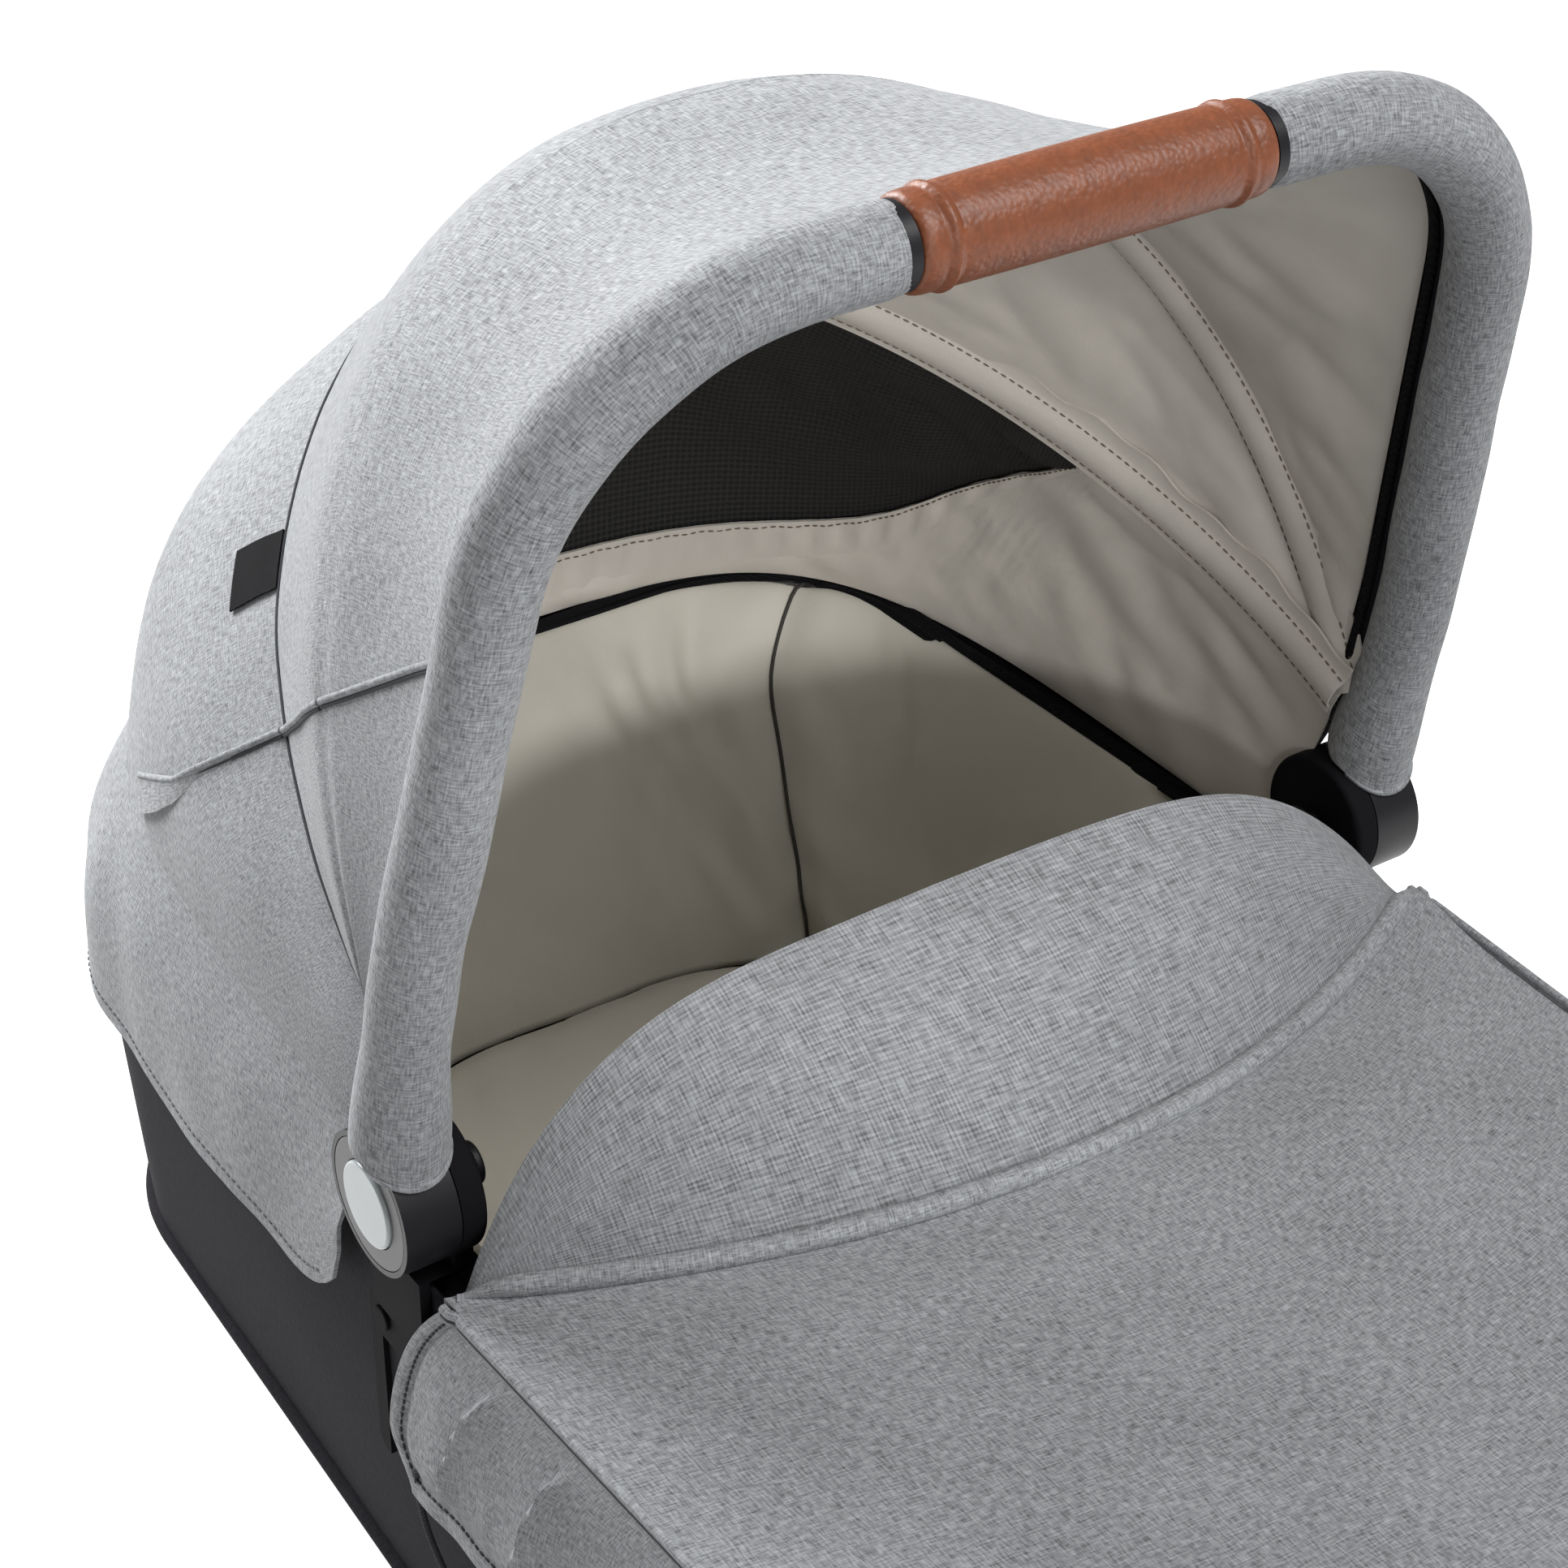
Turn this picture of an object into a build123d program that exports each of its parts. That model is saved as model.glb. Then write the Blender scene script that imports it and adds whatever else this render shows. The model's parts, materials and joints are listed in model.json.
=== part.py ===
# Pram carrycot: a soft-sided tub, a folding canopy on a padded carry bow, and an apron over the foot end.
# Millimetres. +Z is up, +Y points to the head end, +X to the right as seen from the foot end.
# The origin is on the floor, under the middle of the whole carrycot.

import os
from math import cos, radians, sin, tan

from build123d import *

os.makedirs("parts", exist_ok=True)

# Overall places
OVERALL_LENGTH = 860.0
HUB_TO_HEAD = 366.0  # hub axis to the outermost cloth at the head end
HUB_Z = 225.0
RUNNING_GAP = 0.5  # between pieces that turn or slide on each other
SEAT_GAP = 0.3  # between fixed pieces that lie on each other

# Tub
TUB_HALF = 213.0  # outer half width at the hubs, at the rim
TUB_BOTTOM_Z = 8.0
RIM_Z = 193.0
HEAD_TAPER = 14.0  # half width lost between the hubs and the head end
FOOT_TAPER = 22.0
HEAD_CORNER_R = 100.0
HEAD_CROWN = 4.0  # how far the head end swells between its corners
FOOT_CORNER_R = 92.0
SIDE_BEND_R = 900.0  # the slight bend of the long sides at the hubs
LEAST_ROUND = 0.5  # share of a corner's radius that is left on outlines drawn far in
WALL = 3.0
WALL_DRAW_IN = 6.0  # how far the wall stands in at the bottom
PAN_T = 5.0
BOARD_T = 6.0
BOARD_INSET = 5.0
PIPING_R = 3.0
FOOT_R = 15.0
FOOT_INSET = 62.0  # foot pads from the tub's sides and ends
RIM_TUBE_R = 7.0
RIM_TUBE_WALL = 1.5
TRIM_W = 9.0
TRIM_T = 3.0
TAB_W = 13.0
TAB_T = 1.6
TAB_LENGTHS = (34.0, 70.0)  # beside the hubs, at the head corners
TAB_FROM_HUB = (66.0, 262.0)

# Lining pads and mattress
MATTRESS_FROM_SIDE = 50.0  # mattress in from the tub's outside at the rim
MATTRESS_FROM_HEAD = 85.5
MATTRESS_FROM_FOOT = 37.5
MATTRESS_CORNER_R = 118.0
MATTRESS_T = 31.0
MATTRESS_CROWN = 5.0
MATTRESS_WIDEST = 14.0  # height of the fullest line of its sides
MATTRESS_TOP_INSET = 30.0  # where the crown's flat begins
PAD_TOP_T = 9.0
PAD_CROWN = 11.0
PAD_GAP = 1.2  # between a pad's foot and the mattress
SEAM_ANGLE = 51.0  # corner seams, measured from the sideways axis
SEAM_SLIT = 1.4  # between two pads at the wall
SEAM_DRAW_IN = 9.0  # how much wider the seam opens towards the inside

# Cloth
CLOTH = 2.5
SKIRT_STANDOFF = 12.5  # hem of hood and apron from the tub wall
SKIRT_TOP_STANDOFF = 5.8
SEAM = 0.6  # between two canopy panels

# Hubs, measured from the middle of the carrycot outwards
HUB_HALF = 225.0
HUB_R = 26.5
CAP_T = 21.0
HOUSING_T = 10.0
CAP_FLOOR = 4.0
CAP_CHAMBER_R = 21.5
CAP_FRONT = 5.5
CAP_EDGE = 2.5
RING_T = 1.3
RING_R = 24.3
BUTTON_R = 16.0
BUTTON_GAP = 0.4
BUTTON_PROUD = 1.5
BUTTON_EDGE = 1.2
BUTTON_FACE = 4.0
BUTTON_WALL = 2.4
BUTTON_DEPTH = 9.5
GEAR_TEETH = 24
GEAR_TOOTH_R = 20.6
GEAR_ROOT_R = 18.6
GEAR_T = 3.0
SPRING_R = 11.5
SPRING_WIRE = 2.0
BOLT_R = 4.0
BOLT_FIT = 0.08
BOLT_HEAD_R = 8.0
BOLT_HEAD_T = 3.0
BRIDGE_HALF = 18.0
BRIDGE_DROP = 27.0  # outer leg of the housing, below the rim
LEG_T = 4.0
BRACKET_T = 12.0
BRACKET_HALF = 27.0
BRACKET_PROUD = 1.5  # outside the tub wall
BRACKET_H = 78.0
SOCKET_DEPTH = 6.0
SOCKET_HALF = 19.0
SOCKET_H = 58.0
SCREW_R = 2.5
SCREW_FIT = 0.1
SCREW_HEAD_R = 5.0
SCREW_HEAD_T = 1.6
SCREW_SPREAD = 34.0

# Carry bow
BOW_LEAN = 11.3  # towards the foot end, degrees
BOW_H = 342.0  # hub axis to the middle of the grip
BOW_KNEE_H = 95.0
BOW_SHOULDER = 185.0
BOW_KNEE_R = 420.0
BOW_SHOULDER_R = 100.0
HANDLE_R = 8.0
HANDLE_WALL = 1.5
HANDLE_FIT = 0.1
HANDLE_FOOT = 30.0
BOSS_R = 12.0
BOSS_H = 60.0
SLEEVE_R = 14.5
SLEEVE_FOOT = 33.0
GRIP_HALF = 66.5
GRIP_R = 16.0
BEAD_R = 17.2
BEAD_W = 4.0
BEAD_FROM_END = 11.0
COLLAR_W = 4.0
COLLAR_R = 14.0

# Canopy ribs: each bends back at a knee above the hub, then runs in its own leaning plane
PIVOT_RISE = 56.0  # the two rib planes meet in a line this far above the hub axis
RIB_W = 10.0
RIB_T = 2.5
RIB_STEP = 3.1  # the two lugs side by side on the pivot bolt
RIB_LUG_R = 12.0
RIB_KNEE = 100.0  # along the rib plane from the meeting line
REAR_RIB_LEAN = 65.0
FRONT_RIB_LEAN = 29.0

# Arches of the cloth, measured along each leaning plane
ARCH_ROUND = 0.48  # share of the shorter run beside a corner that its rounding takes up
ARCH_FOOT = 12.0
CANOPY_STANDOFF = 21.0  # cloth outside the ribs' legs
FRONT_ARCH_KNEE = 124.0
FRONT_ARCH_SHOULDER = 247.0
FRONT_ARCH_SHOULDER_IN = 66.0
FRONT_ARCH_CROWN = 288.0
REAR_ARCH_KNEE = 103.0
REAR_ARCH_SHOULDER = 271.0
REAR_ARCH_SHOULDER_IN = 101.0
REAR_ARCH_CROWN = 325.0
BOW_ARCH_FOOT = 62.0
BOW_ARCH_RISE = 4.0  # cloth above the bow's middle line at the crown
RIB_DEPTH = 9.0  # ribs inside the cloth at the shoulders and the crown

# Hood skirt and rear panel
HOOD_TOP_Z = 206.0
HOOD_HEM_Z = 143.0
HOOD_FRONT = 31.0  # front edge, behind the hub axis
HOOD_TIP_R = 42.0
REAR_BULGE_LEAN = 82.0
REAR_BULGE = 10.0

# Apron
APRON_EDGE_Z = 201.0
APRON_CROWN_Z = 226.0
APRON_SHOULDER_Z = 217.5
APRON_SHOULDER_IN = 43.0  # shoulder and crown lines, in from the tub's rim
APRON_CROWN_IN = 107.0
APRON_HEM_Z = 109.0
APRON_EDGE_Y = -36.0  # from the hub axis: the fold line between the side ends of the flap
APRON_PIPING_Y = -113.0  # middle of the curved piping
APRON_SKIRT_Y = -4.0  # lower front corner of the side skirts
APRON_SKIRT_R = 22.0
APRON_BEAD_W = 5.0
APRON_BEAD_H = 2.2
FLAP_FOLD_Y = -96.0  # from the hub axis: the line on which the flap turns up
FLAP_HALF = 175.0
FLAP_REACH = 91.0  # from the fold line to the free edge, in the middle and at its ends
FLAP_END_REACH = 44.0
FLAP_LIFT = 34.0  # degrees
FLAP_SLIT = 0.8
FLAP_SWING = 8.5  # keeps the turned-up flap clear of the piping

# Places worked out from the sizes above
HUB_Y = OVERALL_LENGTH / 2 - HUB_TO_HEAD
TUB_HEAD_Y = OVERALL_LENGTH / 2 - SKIRT_STANDOFF
TUB_FOOT_Y = -OVERALL_LENGTH / 2 + SKIRT_STANDOFF
PAN_TOP_Z = TUB_BOTTOM_Z + PAN_T
BOARD_TOP_Z = PAN_TOP_Z + BOARD_T
MATTRESS_Z = BOARD_TOP_Z + MATTRESS_T
CAP_IN = HUB_HALF - CAP_T
HOUSING_OUT = CAP_IN - RUNNING_GAP
HOUSING_IN = HOUSING_OUT - HOUSING_T
FRONT_RIB_X = HOUSING_IN - RUNNING_GAP - RIB_T / 2
REAR_RIB_X = FRONT_RIB_X - RIB_STEP
BOW_HALF = HUB_HALF - CAP_T / 2
BRACKET_TOP_Z = RIM_Z - BRIDGE_DROP
MATTRESS_HALF = TUB_HALF - MATTRESS_FROM_SIDE
MATTRESS_HEAD_Y = TUB_HEAD_Y - MATTRESS_FROM_HEAD
MATTRESS_FOOT_Y = TUB_FOOT_Y + MATTRESS_FROM_FOOT
FLAP_FOLD = HUB_Y + FLAP_FOLD_Y
FOLD_AXIS = Axis((0, FLAP_FOLD, APRON_CROWN_Z), (1, 0, 0))
SIDES = (("right", 1), ("left", -1))


def write_piece(piece, name):
    """Label a finished piece and write its file."""
    piece.part.label = name
    export_step(piece.part, f"parts/{name}.step")


def lean_plane(y, z, lean):
    """A plane across the carrycot through (y, z); its upward direction leans `lean` degrees to the head."""
    turn = radians(lean)
    return Plane((0, y, z), x_dir=(1, 0, 0), z_dir=(0, -cos(turn), sin(turn)))


def plan_outline(z, half, head_y, foot_y, head_r, foot_r):
    """The tub's plan shape at height z: widest at the hubs, with round corners at both ends."""
    right = [(half - FOOT_TAPER, foot_y), (half, HUB_Y), (half - HEAD_TAPER, head_y)]
    left = [(-x, y) for x, y in reversed(right)]
    with BuildSketch(Plane.XY.offset(z)) as outline:
        with BuildLine():
            Polyline(*right, *left, close=True)
        make_face()
        fillet(outline.vertices().group_by(Axis.Y)[-1], head_r)
        fillet(outline.vertices().group_by(Axis.Y)[0], foot_r)
        fillet(outline.vertices().filter_by(lambda v: abs(v.Y - HUB_Y) < RUNNING_GAP), SIDE_BEND_R)
    return outline.sketch.face()


def tub_outline(z, grow):
    """The tub wall's own plan shape at height z, moved outwards by `grow`."""
    return plan_outline(
        z,
        TUB_HALF + grow,
        TUB_HEAD_Y + grow,
        TUB_FOOT_Y - grow,
        max(HEAD_CORNER_R + grow, HEAD_CORNER_R * LEAST_ROUND),
        max(FOOT_CORNER_R + grow, FOOT_CORNER_R * LEAST_ROUND),
    )


def mattress_outline(z, grow):
    """The mattress's plan shape at height z, moved outwards by `grow`."""
    return plan_outline(
        z,
        MATTRESS_HALF + grow,
        MATTRESS_HEAD_Y + grow,
        MATTRESS_FOOT_Y - grow,
        MATTRESS_CORNER_R + grow,
        MATTRESS_CORNER_R + grow,
    )


def wall_inset(z):
    """How far the tub wall's outer face stands in from the rim's outline at height z."""
    return WALL_DRAW_IN * (RIM_Z - z) / (RIM_Z - TUB_BOTTOM_Z)


def arch_line(half_points):
    """A symmetric arch through its half corners, each rounded as far as the runs beside it allow."""
    right = list(half_points[:-1])
    left = [(-x, s) for x, s in reversed(right)]
    corners = [Vector(*point) for point in (*right, half_points[-1], *left)]
    radii = []
    for before, corner, after in zip(corners, corners[1:], corners[2:]):
        turn = (corner - before).get_angle(after - corner)
        shorter = min((corner - before).length, (after - corner).length)
        radii.append(ARCH_ROUND * shorter / tan(radians(turn / 2)))
    return FilletPolyline(*corners, radius=radii)


def arch_band(plane, half_points, thickness):
    """A cloth section in `plane`: the band between an arch and the same arch drawn in by `thickness`."""
    foot, knee, shoulder, crown = half_points
    diagonal = thickness * cos(radians(45))
    inner = (
        (foot[0] - thickness, foot[1]),
        (knee[0] - thickness, knee[1] - diagonal / 2),
        (shoulder[0] - diagonal, shoulder[1] - diagonal),
        (0.0, crown[1] - thickness),
    )
    with BuildSketch(plane) as band:
        with BuildLine():
            outside = arch_line(half_points)
            inside = arch_line(inner)
            Line(outside @ 0, inside @ 0)
            Line(outside @ 1, inside @ 1)
        make_face()
    return band.sketch.face()


def drape_arch(grow):
    """The head end's plan outline grown by `grow`, as half corners behind the hood's front edge."""
    head = TUB_HEAD_Y + grow - HUB_Y - HOOD_FRONT
    half = TUB_HALF + grow
    half_head = half - HEAD_TAPER
    cut = (HEAD_CORNER_R + grow) * (1 - tan(radians(22.5)))
    rounded_off = HEAD_CROWN * ARCH_ROUND / (2 - ARCH_ROUND)
    return (
        (half, 0.0),
        (half_head, head - cut),
        (half_head - cut, head - HEAD_CROWN),
        (0.0, head + rounded_off),
    )


# Tub wall: heather cloth over a stiff liner, open at top and bottom, with a window for each side bracket
with BuildPart() as tub_wall:
    loft(sections=[tub_outline(TUB_BOTTOM_Z, -WALL_DRAW_IN), tub_outline(RIM_Z, 0)])
    loft(
        sections=[tub_outline(TUB_BOTTOM_Z, -WALL_DRAW_IN - WALL), tub_outline(RIM_Z, -WALL)],
        mode=Mode.SUBTRACT,
    )
    with BuildSketch(Plane.YZ):
        with Locations((HUB_Y, BRACKET_TOP_Z - BRACKET_H / 2)):
            Rectangle(2 * (BRACKET_HALF + SEAT_GAP), BRACKET_H + 2 * SEAT_GAP)
    extrude(amount=2 * TUB_HALF, both=True, mode=Mode.SUBTRACT)
write_piece(tub_wall, "tub_wall")

# Base pan: moulded floor tray inside the foot of the wall
PAN_INSET = wall_inset(TUB_BOTTOM_Z) + WALL + SEAT_GAP
with BuildPart() as base_pan:
    with BuildSketch(Plane.XY.offset(TUB_BOTTOM_Z)):
        add(tub_outline(0, -PAN_INSET))
    extrude(amount=PAN_T)
    fillet(base_pan.faces().sort_by(Axis.Z)[0].edges(), PAN_T / 4)
write_piece(base_pan, "base_pan")

# Foot pads: four rubber feet under the pan
with BuildPart() as foot_pads:
    with BuildSketch():
        for y in (TUB_HEAD_Y - FOOT_INSET - FOOT_R, TUB_FOOT_Y + FOOT_INSET + FOOT_R):
            for x in (-1, 1):
                with Locations((x * (TUB_HALF - FOOT_TAPER - FOOT_INSET), y)):
                    Circle(FOOT_R)
    extrude(amount=TUB_BOTTOM_Z)
    chamfer(foot_pads.faces().group_by(Axis.Z)[0].edges(), TUB_BOTTOM_Z / 5)
write_piece(foot_pads, "foot_pads")

# Base board: stiffener under the mattress
with BuildPart() as base_board:
    with BuildSketch(Plane.XY.offset(PAN_TOP_Z)):
        add(tub_outline(0, -PAN_INSET - BOARD_INSET))
    extrude(amount=BOARD_T)
write_piece(base_board, "base_board")

# Bottom piping: a welt around the foot of the wall
PIPING_Z = TUB_BOTTOM_Z + PIPING_R
with BuildPart() as bottom_piping:
    piping_path = tub_outline(PIPING_Z, PIPING_R + SEAT_GAP - wall_inset(PIPING_Z)).outer_wire()
    with BuildSketch(Plane(piping_path @ 0, z_dir=piping_path % 0)):
        Circle(PIPING_R)
    sweep(path=piping_path)
write_piece(bottom_piping, "bottom_piping")

# Rim frame: a bent tube inside the top of the wall
RIM_TUBE_Z = RIM_Z - RIM_TUBE_R - SEAT_GAP
RIM_TUBE_INSET = wall_inset(RIM_TUBE_Z - RIM_TUBE_R) + WALL + SEAT_GAP + RIM_TUBE_R
with BuildPart() as rim_frame:
    rim_path = tub_outline(RIM_TUBE_Z, -RIM_TUBE_INSET).outer_wire()
    with BuildSketch(Plane(rim_path @ 0, z_dir=rim_path % 0)):
        Circle(RIM_TUBE_R)
        Circle(RIM_TUBE_R - RIM_TUBE_WALL, mode=Mode.SUBTRACT)
    sweep(path=rim_path)
write_piece(rim_frame, "rim_frame")

# Mattress: crowned, with its sides drawn in above and below
with BuildPart() as mattress:
    loft(
        sections=[
            mattress_outline(BOARD_TOP_Z, -MATTRESS_CROWN),
            mattress_outline(BOARD_TOP_Z + MATTRESS_WIDEST, 0),
            mattress_outline(MATTRESS_Z - MATTRESS_CROWN, -MATTRESS_CROWN),
            mattress_outline(MATTRESS_Z, -MATTRESS_TOP_INSET),
        ]
    )
write_piece(mattress, "mattress")

# Lining pads: four padded panels that lean in from the rim to the mattress, sewn together at the corners
PAD_OUT = RIM_TUBE_INSET + RIM_TUBE_R + SEAT_GAP
PAD_FOOT_Z = BOARD_TOP_Z
PAD_MIDDLE_Z = (RIM_Z + MATTRESS_Z) / 2
SEAM_HALF = MATTRESS_HALF - MATTRESS_CORNER_R
SEAM_REACH = 2 * TUB_HALF


def pad_ring():
    """The four pads as one ring: upright outside, leaning and crowned inside."""
    top = PAD_OUT + PAD_TOP_T
    middle_half = (TUB_HALF - top + MATTRESS_HALF) / 2 - PAD_CROWN
    middle_head = (TUB_HEAD_Y - top + MATTRESS_HEAD_Y) / 2 - PAD_CROWN
    middle_foot = (TUB_FOOT_Y + top + MATTRESS_FOOT_Y) / 2 + PAD_CROWN
    middle_r = (HEAD_CORNER_R + MATTRESS_CORNER_R) / 2
    with BuildPart() as ring:
        extrude(to_extrude=tub_outline(PAD_FOOT_Z, -PAD_OUT), amount=RIM_Z - PAD_FOOT_Z)
        extrude(to_extrude=mattress_outline(PAD_FOOT_Z, PAD_GAP), amount=MATTRESS_T, mode=Mode.SUBTRACT)
        loft(
            sections=[
                mattress_outline(MATTRESS_Z, PAD_GAP),
                plan_outline(PAD_MIDDLE_Z, middle_half, middle_head, middle_foot, middle_r, middle_r),
                tub_outline(RIM_Z, -top),
            ],
            mode=Mode.SUBTRACT,
        )
    return ring.part


def seam_edge(end, side, shift):
    """A corner seam in plan, from inside to outside, moved sideways by `shift` of its opening."""
    turn = radians(SEAM_ANGLE)
    corner_y = MATTRESS_HEAD_Y - MATTRESS_CORNER_R if end > 0 else MATTRESS_FOOT_Y + MATTRESS_CORNER_R
    along = (side * cos(turn), end * sin(turn))
    across = (-side * sin(turn), end * cos(turn))
    inner = SEAM_DRAW_IN * shift
    outer = SEAM_SLIT / 2 * shift
    start = (side * SEAM_HALF + across[0] * inner, corner_y + across[1] * inner)
    stop = (
        side * SEAM_HALF + along[0] * SEAM_REACH + across[0] * outer,
        corner_y + along[1] * SEAM_REACH + across[1] * outer,
    )
    return start, stop


PAD_SECTORS = {
    "lining_head": (seam_edge(1, -1, 1), seam_edge(1, 1, 1)),
    "lining_foot": (seam_edge(-1, 1, 1), seam_edge(-1, -1, 1)),
    "lining_right": (seam_edge(1, 1, -1), seam_edge(-1, 1, -1)),
    "lining_left": (seam_edge(-1, -1, -1), seam_edge(1, -1, -1)),
}
LINING_RING = pad_ring()
for pad_name, (first, second) in PAD_SECTORS.items():
    with BuildPart() as lining_pad:
        add(LINING_RING)
        with BuildSketch(Plane.XY):
            with BuildLine():
                Polyline(first[0], first[1], second[1], second[0], close=True)
            make_face()
        extrude(amount=HUB_Z, mode=Mode.INTERSECT)
    write_piece(lining_pad, pad_name)

# Rim trim: a binding on the inner edge of the rim, with four longer tabs
TRIM_OUT = PAD_OUT - RIM_TUBE_R
with BuildPart() as rim_trim:
    with BuildSketch(Plane.XY.offset(RIM_Z)):
        add(tub_outline(0, -TRIM_OUT))
        add(tub_outline(0, -TRIM_OUT - TRIM_W), mode=Mode.SUBTRACT)
    extrude(amount=TRIM_T)
write_piece(rim_trim, "rim_trim")

with BuildPart() as rim_tabs:
    with BuildSketch(Plane.XY.offset(RIM_Z + TRIM_T)):
        add(tub_outline(0, -TRIM_OUT))
        add(tub_outline(0, -TRIM_OUT - TAB_W), mode=Mode.SUBTRACT)
        with BuildSketch(mode=Mode.INTERSECT):
            for from_hub, tab_length in zip(TAB_FROM_HUB, TAB_LENGTHS):
                with Locations((0, HUB_Y + from_hub)):
                    Rectangle(2 * TUB_HALF, tab_length)
    extrude(amount=TAB_T)
write_piece(rim_tabs, "rim_tabs")

# Hub housings: fixed discs above the rim, each with a bridge over the rim and a leg outside the wall
LEG_IN = TUB_HALF + SEAT_GAP
BRACKET_OUT = TUB_HALF + BRACKET_PROUD
for side, sign in SIDES:
    with BuildPart() as hub_housing:
        with BuildSketch(Plane.YZ.offset(HOUSING_IN)):
            with Locations((HUB_Y, HUB_Z)):
                Circle(HUB_R)
        extrude(amount=HOUSING_T)
        fillet(hub_housing.faces().sort_by(Axis.X)[0].edges(), CAP_EDGE)
        with BuildSketch(Plane.XZ.offset(-HUB_Y)):
            with BuildLine():
                Polyline(
                    (HOUSING_IN + CAP_EDGE, HUB_Z - HUB_R / 2),
                    (HOUSING_IN + CAP_EDGE, RIM_Z + TRIM_T + TAB_T + SEAT_GAP),
                    (LEG_IN, RIM_Z + TRIM_T + TAB_T + SEAT_GAP),
                    (LEG_IN, BRACKET_TOP_Z),
                    (LEG_IN + LEG_T, BRACKET_TOP_Z),
                    (LEG_IN + LEG_T, HUB_Z - HUB_R - RUNNING_GAP),
                    (HOUSING_OUT, HUB_Z - HUB_R - RUNNING_GAP),
                    (HOUSING_OUT, HUB_Z - HUB_R / 2),
                    close=True,
                )
            make_face()
        extrude(amount=BRIDGE_HALF, both=True)
        with BuildSketch(Plane.YZ.offset(HOUSING_IN)):
            with Locations((HUB_Y, HUB_Z)):
                Circle(BOLT_R + BOLT_FIT)
        extrude(amount=HOUSING_T, mode=Mode.SUBTRACT)
        if sign < 0:
            mirror(about=Plane.YZ, mode=Mode.REPLACE)
    write_piece(hub_housing, f"hub_housing_{side}")

# Side brackets: let into the wall, each with an adapter socket that is open outwards and below
SCREW_Z = BRACKET_TOP_Z - (BRACKET_H - SOCKET_H) / 2
for side, sign in SIDES:
    with BuildPart() as side_bracket:
        with BuildSketch(Plane.YZ.offset(BRACKET_OUT - BRACKET_T)) as bracket_face:
            with Locations((HUB_Y, BRACKET_TOP_Z - BRACKET_H / 2)):
                Rectangle(2 * BRACKET_HALF, BRACKET_H)
            fillet(bracket_face.vertices().group_by(Axis.Z)[0], BRACKET_HALF / 4)
        extrude(amount=BRACKET_T)
        with BuildSketch(Plane.YZ.offset(BRACKET_OUT)):
            with Locations((HUB_Y, BRACKET_TOP_Z - BRACKET_H + SOCKET_H / 2)):
                Rectangle(2 * SOCKET_HALF, SOCKET_H)
        extrude(amount=-SOCKET_DEPTH, mode=Mode.SUBTRACT)
        with BuildSketch(Plane.YZ.offset(BRACKET_OUT)):
            with Locations((HUB_Y, SCREW_Z)):
                with GridLocations(SCREW_SPREAD, 0, 2, 1):
                    Circle(SCREW_R + SCREW_FIT)
        extrude(amount=-BRACKET_T, mode=Mode.SUBTRACT)
        if sign < 0:
            mirror(about=Plane.YZ, mode=Mode.REPLACE)
    write_piece(side_bracket, f"side_bracket_{side}")

# Bracket screws: two a side, through the solid top of each bracket
for side, sign in SIDES:
    with BuildPart() as screw_pair:
        with BuildSketch(Plane.YZ.offset(BRACKET_OUT)):
            with Locations((HUB_Y, SCREW_Z)):
                with GridLocations(SCREW_SPREAD, 0, 2, 1):
                    Circle(SCREW_HEAD_R)
        extrude(amount=SCREW_HEAD_T)
        fillet(screw_pair.faces().group_by(Axis.X)[-1].edges(), SCREW_HEAD_T / 2)
        with BuildSketch(Plane.YZ.offset(BRACKET_OUT)):
            with Locations((HUB_Y, SCREW_Z)):
                with GridLocations(SCREW_SPREAD, 0, 2, 1):
                    Circle(SCREW_R)
        extrude(amount=-BRACKET_T)
        if sign < 0:
            mirror(about=Plane.YZ, mode=Mode.REPLACE)
    write_piece(screw_pair, f"bracket_screws_{side}")

# Pivot bolts: one through each hub, holding the rib lugs, the housing and the cap together
BOLT_IN = REAR_RIB_X - RIB_T / 2 - RUNNING_GAP
BOLT_OUT = CAP_IN + CAP_FLOOR + RUNNING_GAP
for side, sign in SIDES:
    with BuildPart() as pivot_bolt:
        with BuildSketch(Plane.YZ.offset(BOLT_IN - BOLT_HEAD_T)):
            with Locations((HUB_Y, HUB_Z)):
                Circle(BOLT_HEAD_R)
        extrude(amount=BOLT_HEAD_T)
        fillet(pivot_bolt.faces().sort_by(Axis.X)[0].edges(), BOLT_HEAD_T / 2)
        with BuildSketch(Plane.YZ.offset(BOLT_IN)):
            with Locations((HUB_Y, HUB_Z)):
                Circle(BOLT_R)
        extrude(amount=BOLT_OUT - BOLT_IN)
        with BuildSketch(Plane.YZ.offset(BOLT_OUT)):
            with Locations((HUB_Y, HUB_Z)):
                Circle(BOLT_HEAD_R)
        extrude(amount=BOLT_HEAD_T)
        if sign < 0:
            mirror(about=Plane.YZ, mode=Mode.REPLACE)
    write_piece(pivot_bolt, f"pivot_bolt_{side}")

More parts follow.
